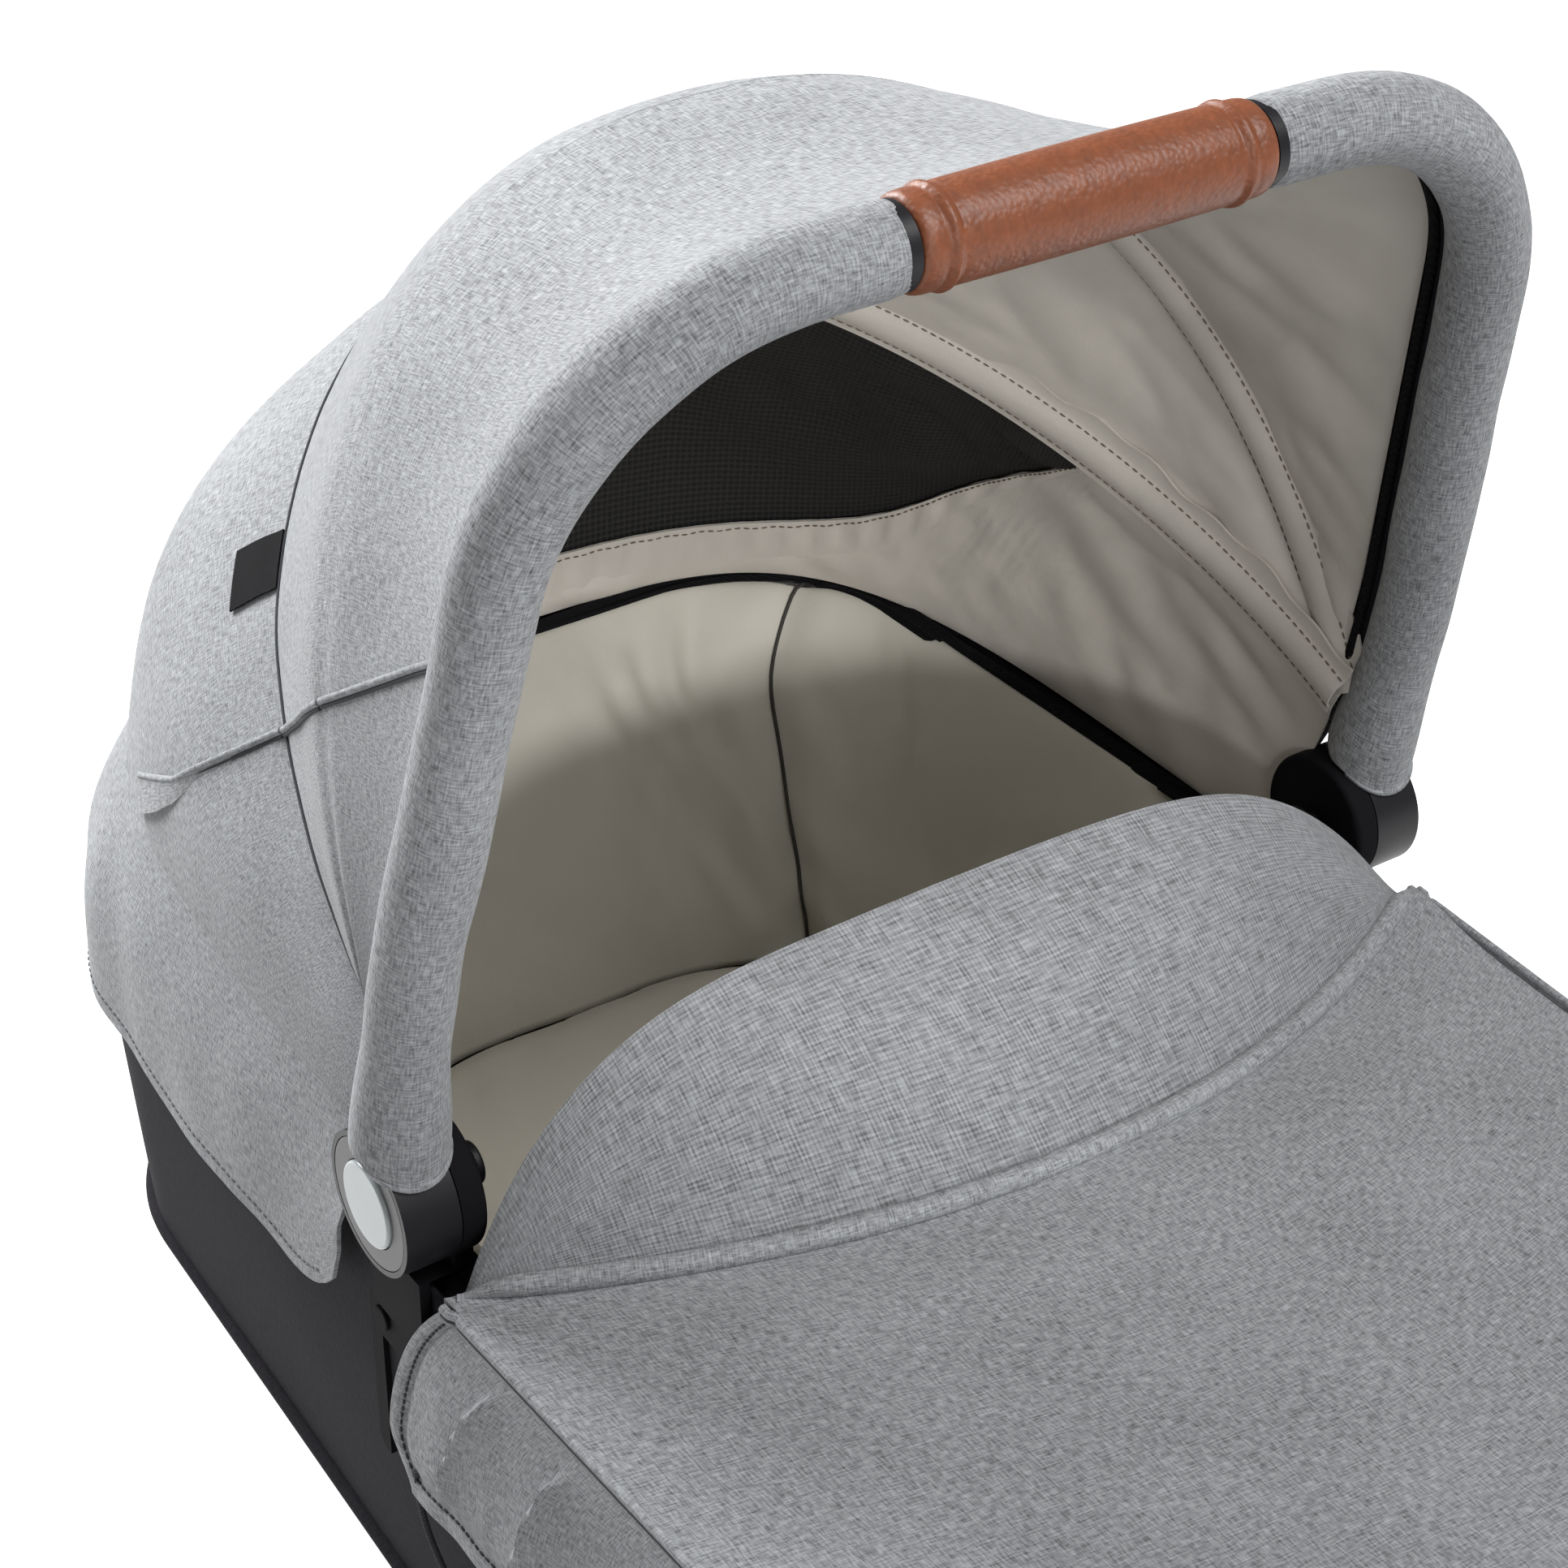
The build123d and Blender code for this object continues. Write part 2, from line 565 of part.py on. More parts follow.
# Hub caps: turn with the bow; each has a chamber for the button and a boss for the handle tube
CAP_FACE = HUB_HALF - RING_T
BOW_PLANE = lean_plane(HUB_Y, HUB_Z, -BOW_LEAN)
LEG_PLANE = Plane(BOW_PLANE.origin, x_dir=(1, 0, 0), z_dir=BOW_PLANE.y_dir)  # square to the bow's legs
for side, sign in SIDES:
    with BuildPart() as hub_cap:
        with BuildSketch(Plane.YZ.offset(CAP_IN)):
            with Locations((HUB_Y, HUB_Z)):
                Circle(HUB_R)
        extrude(amount=CAP_T)
        with BuildSketch(LEG_PLANE):
            with Locations((BOW_HALF, 0)):
                Circle(BOSS_R)
        extrude(amount=BOSS_H)
        with BuildSketch(Plane.YZ.offset(CAP_IN)):
            with Locations((HUB_Y, HUB_Z)):
                Rectangle(4 * BOSS_H, 4 * BOSS_H)
        extrude(amount=CAP_T, mode=Mode.INTERSECT)
        with BuildSketch(Plane.YZ.offset(CAP_IN)):
            with Locations((HUB_Y, HUB_Z)):
                Circle(BOLT_R + BOLT_FIT)
        extrude(amount=CAP_T, mode=Mode.SUBTRACT)
        with BuildSketch(Plane.YZ.offset(CAP_IN + CAP_FLOOR)):
            with Locations((HUB_Y, HUB_Z)):
                Circle(CAP_CHAMBER_R)
        extrude(amount=CAP_T - CAP_FLOOR - CAP_FRONT, mode=Mode.SUBTRACT)
        with BuildSketch(Plane.YZ.offset(CAP_IN + CAP_FLOOR)):
            with Locations((HUB_Y, HUB_Z)):
                Circle(BUTTON_R + BUTTON_GAP)
        extrude(amount=CAP_T, mode=Mode.SUBTRACT)
        with BuildSketch(Plane.YZ.offset(CAP_FACE)):
            with Locations((HUB_Y, HUB_Z)):
                Circle(RING_R + HANDLE_FIT)
        extrude(amount=CAP_T, mode=Mode.SUBTRACT)
        with BuildSketch(LEG_PLANE.offset(HANDLE_FOOT)):
            with Locations((BOW_HALF, 0)):
                Circle(HANDLE_R + HANDLE_FIT)
        extrude(amount=BOSS_H, mode=Mode.SUBTRACT)
        if sign < 0:
            mirror(about=Plane.YZ, mode=Mode.REPLACE)
    write_piece(hub_cap, f"hub_cap_{side}")

# Hub rings: grey face rings let into the caps
for side, sign in SIDES:
    with BuildPart() as hub_ring:
        with BuildSketch(Plane.YZ.offset(CAP_FACE)):
            with Locations((HUB_Y, HUB_Z)):
                Circle(RING_R)
                Circle(BUTTON_R + BUTTON_GAP, mode=Mode.SUBTRACT)
        extrude(amount=RING_T)
        fillet(hub_ring.edges().group_by(Axis.X)[-1].sort_by(SortBy.RADIUS)[-1], RING_T / 2)
        if sign < 0:
            mirror(about=Plane.YZ, mode=Mode.REPLACE)
    write_piece(hub_ring, f"hub_ring_{side}")

# Buttons: cups that slide into the caps against a spring
BUTTON_OUT = HUB_HALF + BUTTON_PROUD
BUTTON_IN = BUTTON_OUT - BUTTON_DEPTH
for side, sign in SIDES:
    with BuildPart() as button:
        with BuildSketch(Plane.YZ.offset(BUTTON_IN)):
            with Locations((HUB_Y, HUB_Z)):
                Circle(BUTTON_R)
        extrude(amount=BUTTON_DEPTH)
        fillet(button.faces().sort_by(Axis.X)[-1].edges(), BUTTON_EDGE)
        with BuildSketch(Plane.YZ.offset(BUTTON_IN)):
            with Locations((HUB_Y, HUB_Z)):
                Circle(BUTTON_R - BUTTON_WALL)
        extrude(amount=BUTTON_DEPTH - BUTTON_FACE, mode=Mode.SUBTRACT)
        if sign < 0:
            mirror(about=Plane.YZ, mode=Mode.REPLACE)
    write_piece(button, f"button_{side}")

# Lock gears: toothed rings on the buttons' inner ends, behind the caps' fronts
GEAR_OUT = HUB_HALF - CAP_FRONT - RUNNING_GAP
TOOTH_PITCH = 360 / GEAR_TEETH
for side, sign in SIDES:
    with BuildPart() as lock_gear:
        with BuildSketch(Plane.YZ.offset(GEAR_OUT - GEAR_T)):
            with Locations((HUB_Y, HUB_Z)):
                Circle(GEAR_ROOT_R)
                with PolarLocations((GEAR_ROOT_R + GEAR_TOOTH_R) / 2 - HANDLE_FIT, GEAR_TEETH):
                    Rectangle(GEAR_TOOTH_R - GEAR_ROOT_R, GEAR_ROOT_R * radians(TOOTH_PITCH) / 2)
                Circle(BUTTON_R + HANDLE_FIT, mode=Mode.SUBTRACT)
        extrude(amount=GEAR_T)
        if sign < 0:
            mirror(about=Plane.YZ, mode=Mode.REPLACE)
    write_piece(lock_gear, f"lock_gear_{side}")

# Button springs: sleeves in the place of short coil springs
SPRING_IN = CAP_IN + CAP_FLOOR + RUNNING_GAP
SPRING_OUT = BUTTON_OUT - BUTTON_FACE - HANDLE_FIT
for side, sign in SIDES:
    with BuildPart() as button_spring:
        with BuildSketch(Plane.YZ.offset(SPRING_IN)):
            with Locations((HUB_Y, HUB_Z)):
                Circle(SPRING_R)
                Circle(SPRING_R - SPRING_WIRE, mode=Mode.SUBTRACT)
        extrude(amount=SPRING_OUT - SPRING_IN)
        if sign < 0:
            mirror(about=Plane.YZ, mode=Mode.REPLACE)
    write_piece(button_spring, f"button_spring_{side}")

# Carry bow: one bent tube from hub to hub


def bow_path(foot):
    """The bow's centre line in its leaning plane; both its ends stand `foot` above the hub axis."""
    right = [(BOW_HALF, foot), (BOW_HALF, BOW_KNEE_H), (BOW_SHOULDER, BOW_H)]
    left = [(-x, h) for x, h in reversed(right)]
    radii = [BOW_KNEE_R, BOW_SHOULDER_R, BOW_SHOULDER_R, BOW_KNEE_R]
    return FilletPolyline(*right, *left, radius=radii)


with BuildPart() as handle_tube:
    with BuildLine(BOW_PLANE) as tube_line:
        bow_path(HANDLE_FOOT + HANDLE_FIT)
    with BuildSketch(Plane(tube_line.wire() @ 0, z_dir=tube_line.wire() % 0)):
        Circle(HANDLE_R)
        Circle(HANDLE_R - HANDLE_WALL, mode=Mode.SUBTRACT)
    sweep(path=tube_line.wire())
write_piece(handle_tube, "handle_tube")

# Sleeves: padded cloth tubes over the bow's legs and shoulders, with cuffs over the cap bosses
COLLAR_IN = GRIP_HALF + RUNNING_GAP
SLEEVE_END = COLLAR_IN + COLLAR_W + RUNNING_GAP
for side, sign in SIDES:
    with BuildPart() as sleeve:
        with BuildLine(BOW_PLANE) as sleeve_line:
            bow_path(SLEEVE_FOOT)
        with BuildSketch(Plane(sleeve_line.wire() @ 0, z_dir=sleeve_line.wire() % 0)):
            Circle(SLEEVE_R)
            Circle(HANDLE_R + HANDLE_FIT, mode=Mode.SUBTRACT)
        sweep(path=sleeve_line.wire())
        with BuildSketch(LEG_PLANE):
            with Locations((BOW_HALF, 0)):
                Circle(BOSS_R + SEAT_GAP)
        extrude(amount=BOSS_H + SEAT_GAP, mode=Mode.SUBTRACT)
        with BuildSketch(Plane.YZ.offset(SLEEVE_END)):
            Rectangle(2 * OVERALL_LENGTH, 2 * OVERALL_LENGTH)
        extrude(amount=TUB_HALF, mode=Mode.INTERSECT)
        if sign < 0:
            mirror(about=Plane.YZ, mode=Mode.REPLACE)
    write_piece(sleeve, f"sleeve_{side}")

# Grip: leather sleeve on the straight top of the bow, with a bead near each end
GRIP_AXIS = Plane(BOW_PLANE.from_local_coords((0, BOW_H, 0)), x_dir=BOW_PLANE.y_dir, z_dir=(1, 0, 0))
with BuildPart() as grip:
    with BuildSketch(GRIP_AXIS.offset(-GRIP_HALF)):
        Circle(GRIP_R)
    extrude(amount=2 * GRIP_HALF)
    fillet(grip.edges(), (GRIP_R - HANDLE_R) / 4)
    for bead_x in (-GRIP_HALF + BEAD_FROM_END, GRIP_HALF - BEAD_FROM_END):
        with BuildSketch(GRIP_AXIS.offset(bead_x - BEAD_W / 2)):
            Circle(BEAD_R)
        extrude(amount=BEAD_W)
    with BuildSketch(GRIP_AXIS.offset(-GRIP_HALF)):
        Circle(HANDLE_R + HANDLE_FIT)
    extrude(amount=2 * GRIP_HALF, mode=Mode.SUBTRACT)
write_piece(grip, "grip")

# Grip collars: black rings that close the ends of the grip
for side, sign in SIDES:
    with BuildPart() as grip_collar:
        with BuildSketch(GRIP_AXIS.offset(COLLAR_IN)):
            Circle(COLLAR_R)
            Circle(HANDLE_R + HANDLE_FIT, mode=Mode.SUBTRACT)
        extrude(amount=COLLAR_W)
        if sign < 0:
            mirror(about=Plane.YZ, mode=Mode.REPLACE)
    write_piece(grip_collar, f"grip_collar_{side}")

# Half arches as corners (sideways, along the leaning plane): foot, knee, shoulder, crown
def half_arch(foot_half, knee, shoulder, shoulder_in, crown):
    """The half corners of the cloth's arch over a rib."""
    return (
        (foot_half, ARCH_FOOT),
        (foot_half, knee),
        (foot_half - shoulder_in, shoulder),
        (0.0, crown),
    )


FRONT_ARCH = half_arch(
    FRONT_RIB_X + CANOPY_STANDOFF,
    FRONT_ARCH_KNEE,
    FRONT_ARCH_SHOULDER,
    FRONT_ARCH_SHOULDER_IN,
    FRONT_ARCH_CROWN,
)
REAR_ARCH = half_arch(
    REAR_RIB_X + CANOPY_STANDOFF,
    REAR_ARCH_KNEE,
    REAR_ARCH_SHOULDER,
    REAR_ARCH_SHOULDER_IN,
    REAR_ARCH_CROWN,
)

# Canopy ribs
PIVOT_Z = HUB_Z + PIVOT_RISE


def make_rib(name, lean, half, cloth_arch):
    """A rib: two legs with pivot lugs, and a strip bent to an arch in a leaning plane inside the cloth."""
    plane = lean_plane(HUB_Y, PIVOT_Z, lean)
    _, knee, shoulder, crown = cloth_arch
    half_points = (
        (half, RIB_KNEE - RIB_W / 2),
        (half, max(knee[1], RIB_KNEE + RIB_W)),
        (shoulder[0] - RIB_DEPTH, shoulder[1] - RIB_DEPTH),
        (0.0, crown[1] - RIB_DEPTH),
    )
    knee_point = plane.from_local_coords((0, RIB_KNEE, 0))
    with BuildPart() as rib:
        with BuildSketch(plane):
            with BuildLine():
                arch_line(half_points)
            trace(line_width=RIB_T)
        extrude(amount=RIB_W / 2, both=True)
        for sign in (-1, 1):
            with BuildSketch(Plane.YZ.offset(sign * half - RIB_T / 2)):
                with Locations((HUB_Y, HUB_Z)):
                    Circle(RIB_LUG_R)
                with Locations((knee_point.Y, knee_point.Z)):
                    Circle(RIB_W / 2)
                make_hull()
                with Locations((HUB_Y, HUB_Z)):
                    Circle(BOLT_R + BOLT_FIT, mode=Mode.SUBTRACT)
            extrude(amount=RIB_T)
    write_piece(rib, name)


make_rib("rib_rear", REAR_RIB_LEAN, REAR_RIB_X, REAR_ARCH)
make_rib("rib_front", FRONT_RIB_LEAN, FRONT_RIB_X, FRONT_ARCH)

# Canopy panels: cloth stretched from arch to arch
BOW_ARCH = (
    (BOW_HALF, BOW_ARCH_FOOT),
    (BOW_HALF, BOW_KNEE_H),
    (BOW_SHOULDER, BOW_H),
    (0.0, BOW_H + BOW_ARCH_RISE),
)
BOW_CLOTH_PLANE = BOW_PLANE.offset(-max(SLEEVE_R, BEAD_R) - RUNNING_GAP)
FRONT_PLANE = lean_plane(HUB_Y, PIVOT_Z, FRONT_RIB_LEAN)
REAR_PLANE = lean_plane(HUB_Y, PIVOT_Z, REAR_RIB_LEAN)
BULGE_PLANE = lean_plane(HUB_Y + HOOD_FRONT / 2, (PIVOT_Z + HOOD_TOP_Z) / 2, REAR_BULGE_LEAN)
DRAPE_Y = HUB_Y + HOOD_FRONT
FLAT = 90.0  # lean of a level plane

with BuildPart() as canopy_front:
    loft(
        sections=[
            arch_band(BOW_CLOTH_PLANE, BOW_ARCH, CLOTH),
            arch_band(FRONT_PLANE.offset(SEAM / 2), FRONT_ARCH, CLOTH),
        ]
    )
write_piece(canopy_front, "canopy_front")

with BuildPart() as canopy_mid:
    loft(
        sections=[
            arch_band(FRONT_PLANE.offset(-SEAM / 2), FRONT_ARCH, CLOTH),
            arch_band(REAR_PLANE.offset(SEAM / 2), REAR_ARCH, CLOTH),
        ]
    )
write_piece(canopy_mid, "canopy_mid")

DRAPE_TOP = drape_arch(SKIRT_TOP_STANDOFF)
BULGE_ARCH = tuple(
    ((rear[0] + low[0]) / 2, (rear[1] + low[1]) / 2 + REAR_BULGE)
    for rear, low in zip(REAR_ARCH, DRAPE_TOP)
)
with BuildPart() as canopy_rear:
    loft(
        sections=[
            arch_band(REAR_PLANE.offset(-SEAM / 2), REAR_ARCH, CLOTH),
            arch_band(BULGE_PLANE, BULGE_ARCH, CLOTH),
            arch_band(lean_plane(DRAPE_Y, HOOD_TOP_Z, FLAT), DRAPE_TOP, CLOTH),
        ]
    )
write_piece(canopy_rear, "canopy_rear")

# Hood skirt: hangs from the rear panel's foot over the rim, flaring to its hem
with BuildPart() as hood_skirt:
    skirt_levels = ((HOOD_TOP_Z, SKIRT_TOP_STANDOFF), (HOOD_HEM_Z, SKIRT_STANDOFF))
    loft(
        sections=[
            arch_band(lean_plane(DRAPE_Y, level, FLAT), drape_arch(standoff), CLOTH)
            for level, standoff in skirt_levels
        ]
    )
    with BuildSketch(Plane.YZ) as tip_cut:
        with Locations((DRAPE_Y + HOOD_TIP_R / 2, HOOD_HEM_Z + HOOD_TIP_R / 2)):
            Rectangle(HOOD_TIP_R, HOOD_TIP_R)
        with Locations((DRAPE_Y + HOOD_TIP_R, HOOD_HEM_Z + HOOD_TIP_R)):
            Circle(HOOD_TIP_R, mode=Mode.SUBTRACT)
    extrude(amount=2 * TUB_HALF, both=True, mode=Mode.SUBTRACT)
write_piece(hood_skirt, "hood_skirt")

# Apron: a crowned cover with skirts over the foot end, its flap and the piping between them
FLAP_Y = HUB_Y + APRON_EDGE_Y


def apron_shell(outer, inner):
    """A crowned shell between two offsets from the apron's outer face, over the whole length of the tub."""

    def crowned_solid(drop):
        levels = (
            (APRON_HEM_Z, SKIRT_STANDOFF),
            (APRON_EDGE_Z, SKIRT_TOP_STANDOFF),
        )
        crown = (
            (APRON_EDGE_Z, SKIRT_TOP_STANDOFF),
            (APRON_SHOULDER_Z, -APRON_SHOULDER_IN),
            (APRON_CROWN_Z, -APRON_CROWN_IN),
        )
        with BuildPart() as solid:
            loft(sections=[tub_outline(z - drop, grow - drop) for z, grow in levels])
            loft(sections=[tub_outline(z - drop, grow - drop) for z, grow in crown])
        return solid

    with BuildPart() as shell:
        add(crowned_solid(outer).part)
        add(crowned_solid(inner).part, mode=Mode.SUBTRACT)
    return shell.part


def plan_region(back, front, half):
    """The plan area between two arcs over the same half width, each given by its end and middle Y."""
    with BuildSketch(Plane.XY.offset(APRON_HEM_Z)) as region:
        with BuildLine():
            ThreePointArc((-half, back[0]), (0, back[1]), (half, back[0]))
            ThreePointArc((-half, front[0]), (0, front[1]), (half, front[0]))
            Line((-half, back[0]), (-half, front[0]))
            Line((half, back[0]), (half, front[0]))
        make_face()
    return region.sketch.face()


PIPING_ENDS = FLAP_Y - APRON_BEAD_W - FLAP_SLIT
PIPING_MIDDLE = HUB_Y + APRON_PIPING_Y
APRON_HALF = TUB_HALF + SKIRT_STANDOFF + CLOTH
APRON_HEIGHT = HUB_Z
CLOTH_SHELL = apron_shell(0, CLOTH)

SKIRT_FRONT = (
    (FLAP_Y, APRON_EDGE_Z + CLOTH),
    (HUB_Y + APRON_SKIRT_Y, APRON_HEM_Z + APRON_SKIRT_R),
    (HUB_Y + APRON_SKIRT_Y - APRON_SKIRT_R, APRON_HEM_Z),
)
with BuildPart() as apron_panel:
    add(CLOTH_SHELL)
    extrude(
        to_extrude=plan_region(
            (PIPING_ENDS, PIPING_MIDDLE), (TUB_HEAD_Y + APRON_HALF, TUB_HEAD_Y + 2 * APRON_HALF), TUB_HALF
        ),
        amount=APRON_HEIGHT,
        mode=Mode.SUBTRACT,
    )
    with BuildSketch(Plane.YZ):
        with BuildLine():
            Polyline(
                *SKIRT_FRONT,
                (SKIRT_FRONT[-1][0], 0),
                (OVERALL_LENGTH, 0),
                (OVERALL_LENGTH, SKIRT_FRONT[0][1]),
                close=True,
            )
        make_face()
    extrude(amount=APRON_HALF, both=True, mode=Mode.SUBTRACT)
    with BuildSketch(Plane.XZ.offset(-FLAP_Y)):
        with Locations((0, HUB_Z)):
            Rectangle(4 * TUB_HALF, 2 * HUB_Z)
        with Locations((0, APRON_EDGE_Z - HUB_Z)):
            Rectangle(4 * TUB_HALF, 2 * HUB_Z, mode=Mode.SUBTRACT)
    extrude(amount=-OVERALL_LENGTH, mode=Mode.SUBTRACT)
write_piece(apron_panel, "apron_panel")

with BuildPart() as apron_piping:
    add(apron_shell(-APRON_BEAD_H, CLOTH))
    extrude(
        to_extrude=plan_region(
            (PIPING_ENDS + SEAT_GAP, PIPING_MIDDLE + SEAT_GAP),
            (PIPING_ENDS + APRON_BEAD_W, PIPING_MIDDLE + APRON_BEAD_W),
            TUB_HALF,
        ),
        amount=APRON_HEIGHT,
        mode=Mode.INTERSECT,
    )
write_piece(apron_piping, "apron_piping")

# Apron yoke: the cloth between the piping and the fold line
CLOTH_HEAD = (TUB_HEAD_Y + APRON_HALF, TUB_HEAD_Y + 2 * APRON_HALF)
with BuildPart() as apron_yoke:
    add(CLOTH_SHELL)
    extrude(
        to_extrude=plan_region(
            (PIPING_ENDS + APRON_BEAD_W + SEAT_GAP, PIPING_MIDDLE + APRON_BEAD_W + SEAT_GAP), CLOTH_HEAD, TUB_HALF
        ),
        amount=APRON_HEIGHT,
        mode=Mode.INTERSECT,
    )
    split(bisect_by=Plane.XZ.offset(-FLAP_FOLD), keep=Keep.TOP)
write_piece(apron_yoke, "apron_yoke")

# Apron flap: the free front of the apron, turned up about the fold line
with BuildPart() as apron_flap:
    add(CLOTH_SHELL)
    flap_back = APRON_BEAD_W + FLAP_SWING
    extrude(
        to_extrude=plan_region((PIPING_ENDS + flap_back, PIPING_MIDDLE + flap_back), CLOTH_HEAD, TUB_HALF),
        amount=APRON_HEIGHT,
        mode=Mode.INTERSECT,
    )
    extrude(
        to_extrude=plan_region(
            (FLAP_FOLD + FLAP_SLIT, FLAP_FOLD + FLAP_SLIT + SEAT_GAP),
            (FLAP_FOLD + FLAP_END_REACH, FLAP_FOLD + FLAP_REACH),
            FLAP_HALF,
        ),
        amount=APRON_HEIGHT,
        mode=Mode.INTERSECT,
    )
apron_flap.part = apron_flap.part.rotate(FOLD_AXIS, FLAP_LIFT)
write_piece(apron_flap, "apron_flap")
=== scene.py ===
"""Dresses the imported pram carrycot: cloth, lining, leather grip and finishes, with a plain studio stage."""

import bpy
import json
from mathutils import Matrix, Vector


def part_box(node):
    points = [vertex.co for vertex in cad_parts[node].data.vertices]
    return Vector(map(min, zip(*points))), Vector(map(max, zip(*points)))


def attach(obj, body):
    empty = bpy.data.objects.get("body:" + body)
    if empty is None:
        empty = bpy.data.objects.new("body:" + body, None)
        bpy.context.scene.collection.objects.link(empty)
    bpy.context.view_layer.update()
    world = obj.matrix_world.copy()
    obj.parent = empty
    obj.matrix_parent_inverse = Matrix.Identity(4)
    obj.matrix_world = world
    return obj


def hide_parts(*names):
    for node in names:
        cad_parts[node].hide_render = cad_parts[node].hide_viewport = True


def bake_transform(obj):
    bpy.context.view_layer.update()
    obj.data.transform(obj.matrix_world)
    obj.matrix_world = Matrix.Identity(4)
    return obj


bl_info = {
    "name": "Pram carrycot",
    "version": (1, 0, 0),
    "blender": (4, 5, 0),
    "location": "View3D > Sidebar > Carrycot",
    "description": "Models the soft goods and finishes of a pram carrycot around its packed frame",
    "category": "Object",
}

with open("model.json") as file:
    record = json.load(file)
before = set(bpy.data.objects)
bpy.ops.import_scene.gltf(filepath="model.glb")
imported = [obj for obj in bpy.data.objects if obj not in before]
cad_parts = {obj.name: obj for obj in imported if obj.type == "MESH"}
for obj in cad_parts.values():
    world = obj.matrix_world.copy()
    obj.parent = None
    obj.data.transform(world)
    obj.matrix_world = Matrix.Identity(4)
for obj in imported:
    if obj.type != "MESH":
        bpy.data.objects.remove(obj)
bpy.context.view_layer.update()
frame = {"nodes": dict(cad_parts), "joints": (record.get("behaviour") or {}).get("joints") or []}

import json
import math
from types import SimpleNamespace

import bpy
import numpy as np
from bpy.props import FloatProperty, FloatVectorProperty, PointerProperty
from mathutils import Matrix, Vector, noise

# Shapes below are in millimetres from the middle of the hub axis: +X right seen from the foot end, +Y to the
# head end, +Z up. to_frame turns them into the frame's metres.
MM = 0.001
JOINTS = {joint["name"]: joint for joint in frame["joints"]}
HUB = np.array(JOINTS["bow_hinge"]["pos_m"], float)
DENSE = 721  # points of a section before it is spaced evenly
SIDES = (("right", 1), ("left", -1))


def to_frame(points):
    """Millimetres from the hub axis as metres in the frame."""
    return np.asarray(points, float) * MM + HUB


def from_frame(point):
    """A frame point, in metres, as millimetres from the hub axis."""
    return (np.asarray(point, float) - HUB) / MM


def box(node):
    """The lowest and highest corner of a frame node, in millimetres from the hub axis."""
    return [from_frame(corner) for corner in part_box(node)]


# Sizes read from the frame
GRIP_HALF = box("grip")[1][0]
CAP_LOW, CAP_HIGH = box("hub_cap_right")
HUB_R = -CAP_LOW[2]
BOW_HALF = (CAP_LOW[0] + CAP_HIGH[0]) / 2
TUB_LOW, TUB_HIGH = box("tub_wall")
RIM = TUB_HIGH[2]
TRIM_LOW, TRIM_HIGH = box("rim_trim")
HEM_LOW, HEM_HIGH = box("hood_skirt")
APRON_END = box("apron_panel")[0][1]
MAT_LOW, MAT_HIGH = box("mattress")
PIPE_LOW, PIPE_HIGH = box("bottom_piping")

# Tub
SIDE_TAPER, HEAD_TAPER = 22.0, 14.0  # how far the tub's sides lean in towards the foot and the head
SIDE_RADIUS = 900.0  # of the slight bend in the middle of each side

# Carry bow
BOW_LEAN = math.radians(11.3)
BOW_KNEE = 95.0
BOW_SHOULDER = 185.0
BOW_TOP = 342.0
BOW_RADII = (420.0, 100.0)

# Canopy
PIVOT_RISE = 56.0  # the rib planes meet this far above the hub axis
FRONT_LEAN = 29.0
REAR_LEAN = 65.0
FRONT_ROUND = 2.25  # 2 is an ellipse, more is squarer
REAR_ROUND = 1.85
# Behind the rear rib: half width, rise, roundness, lean, and how far back and up the arch starts
BEHIND_ARCH = (213.0, 336.0, 2.5, 79.0, 11.0, 38.0)
# Where the canopy meets its skirt: half width, front, head, roundness and height
HOOD_SEAM = (215.0, 24.0, 353.0, 3.4, 12.0)
BOW_SEAM = (40.0, 14.0)  # the canopy's foot on the bow, and how far behind it the canopy is sewn


def hex_colour(code):
    """An sRGB hex colour as linear red, green and blue."""
    channels = [int(code[i:i + 2], 16) / 255 for i in (1, 3, 5)]
    return [c / 12.92 if c <= 0.04045 else ((c + 0.055) / 1.055) ** 2.4 for c in channels]


def size(label, words, default):
    """A length for the sidebar, given in millimetres and kept in metres."""
    return FloatProperty(name=label, description=words, default=default * MM, min=0.0, soft_max=1.0,
                         subtype="DISTANCE", unit="LENGTH", precision=4)


def colour(label, words, code):
    """A colour for the sidebar, given as sRGB hex."""
    return FloatVectorProperty(name=label, description=words, default=hex_colour(code), subtype="COLOR",
                               size=3, min=0.0, max=1.0)


class CarrycotSizes(bpy.types.PropertyGroup):
    """Sizes of the soft goods"""

    cloth: size("Cloth", "Thickness of the outer cloth with its backing", 1.6)
    sleeve: size("Sleeve radius", "Half thickness of the padded sleeves on the bow", 14.6)
    front_half: size("Front arch half width", "Half width of the cloth over the front rib", 216.0)
    front_rise: size("Front arch rise", "Height of the cloth over the front rib, along its plane", 280.0)
    rear_half: size("Rear arch half width", "Half width of the cloth over the rear rib", 211.0)
    rear_rise: size("Rear arch rise", "Height of the cloth over the rear rib, along its plane", 314.0)
    lining_gap: size("Lining gap", "From the outer cloth in to the canopy lining", 10.0)
    tunnel: size("Tunnel half width", "Half width of the rib tunnels between their seams", 8.0)
    piping: size("Piping radius", "Half thickness of the apron's piping", 4.0)
    hem: size("Hem width", "Width of the turned and stitched hems", 7.0)
    stitch: size("Stitch length", "Length of one stitch", 3.0)


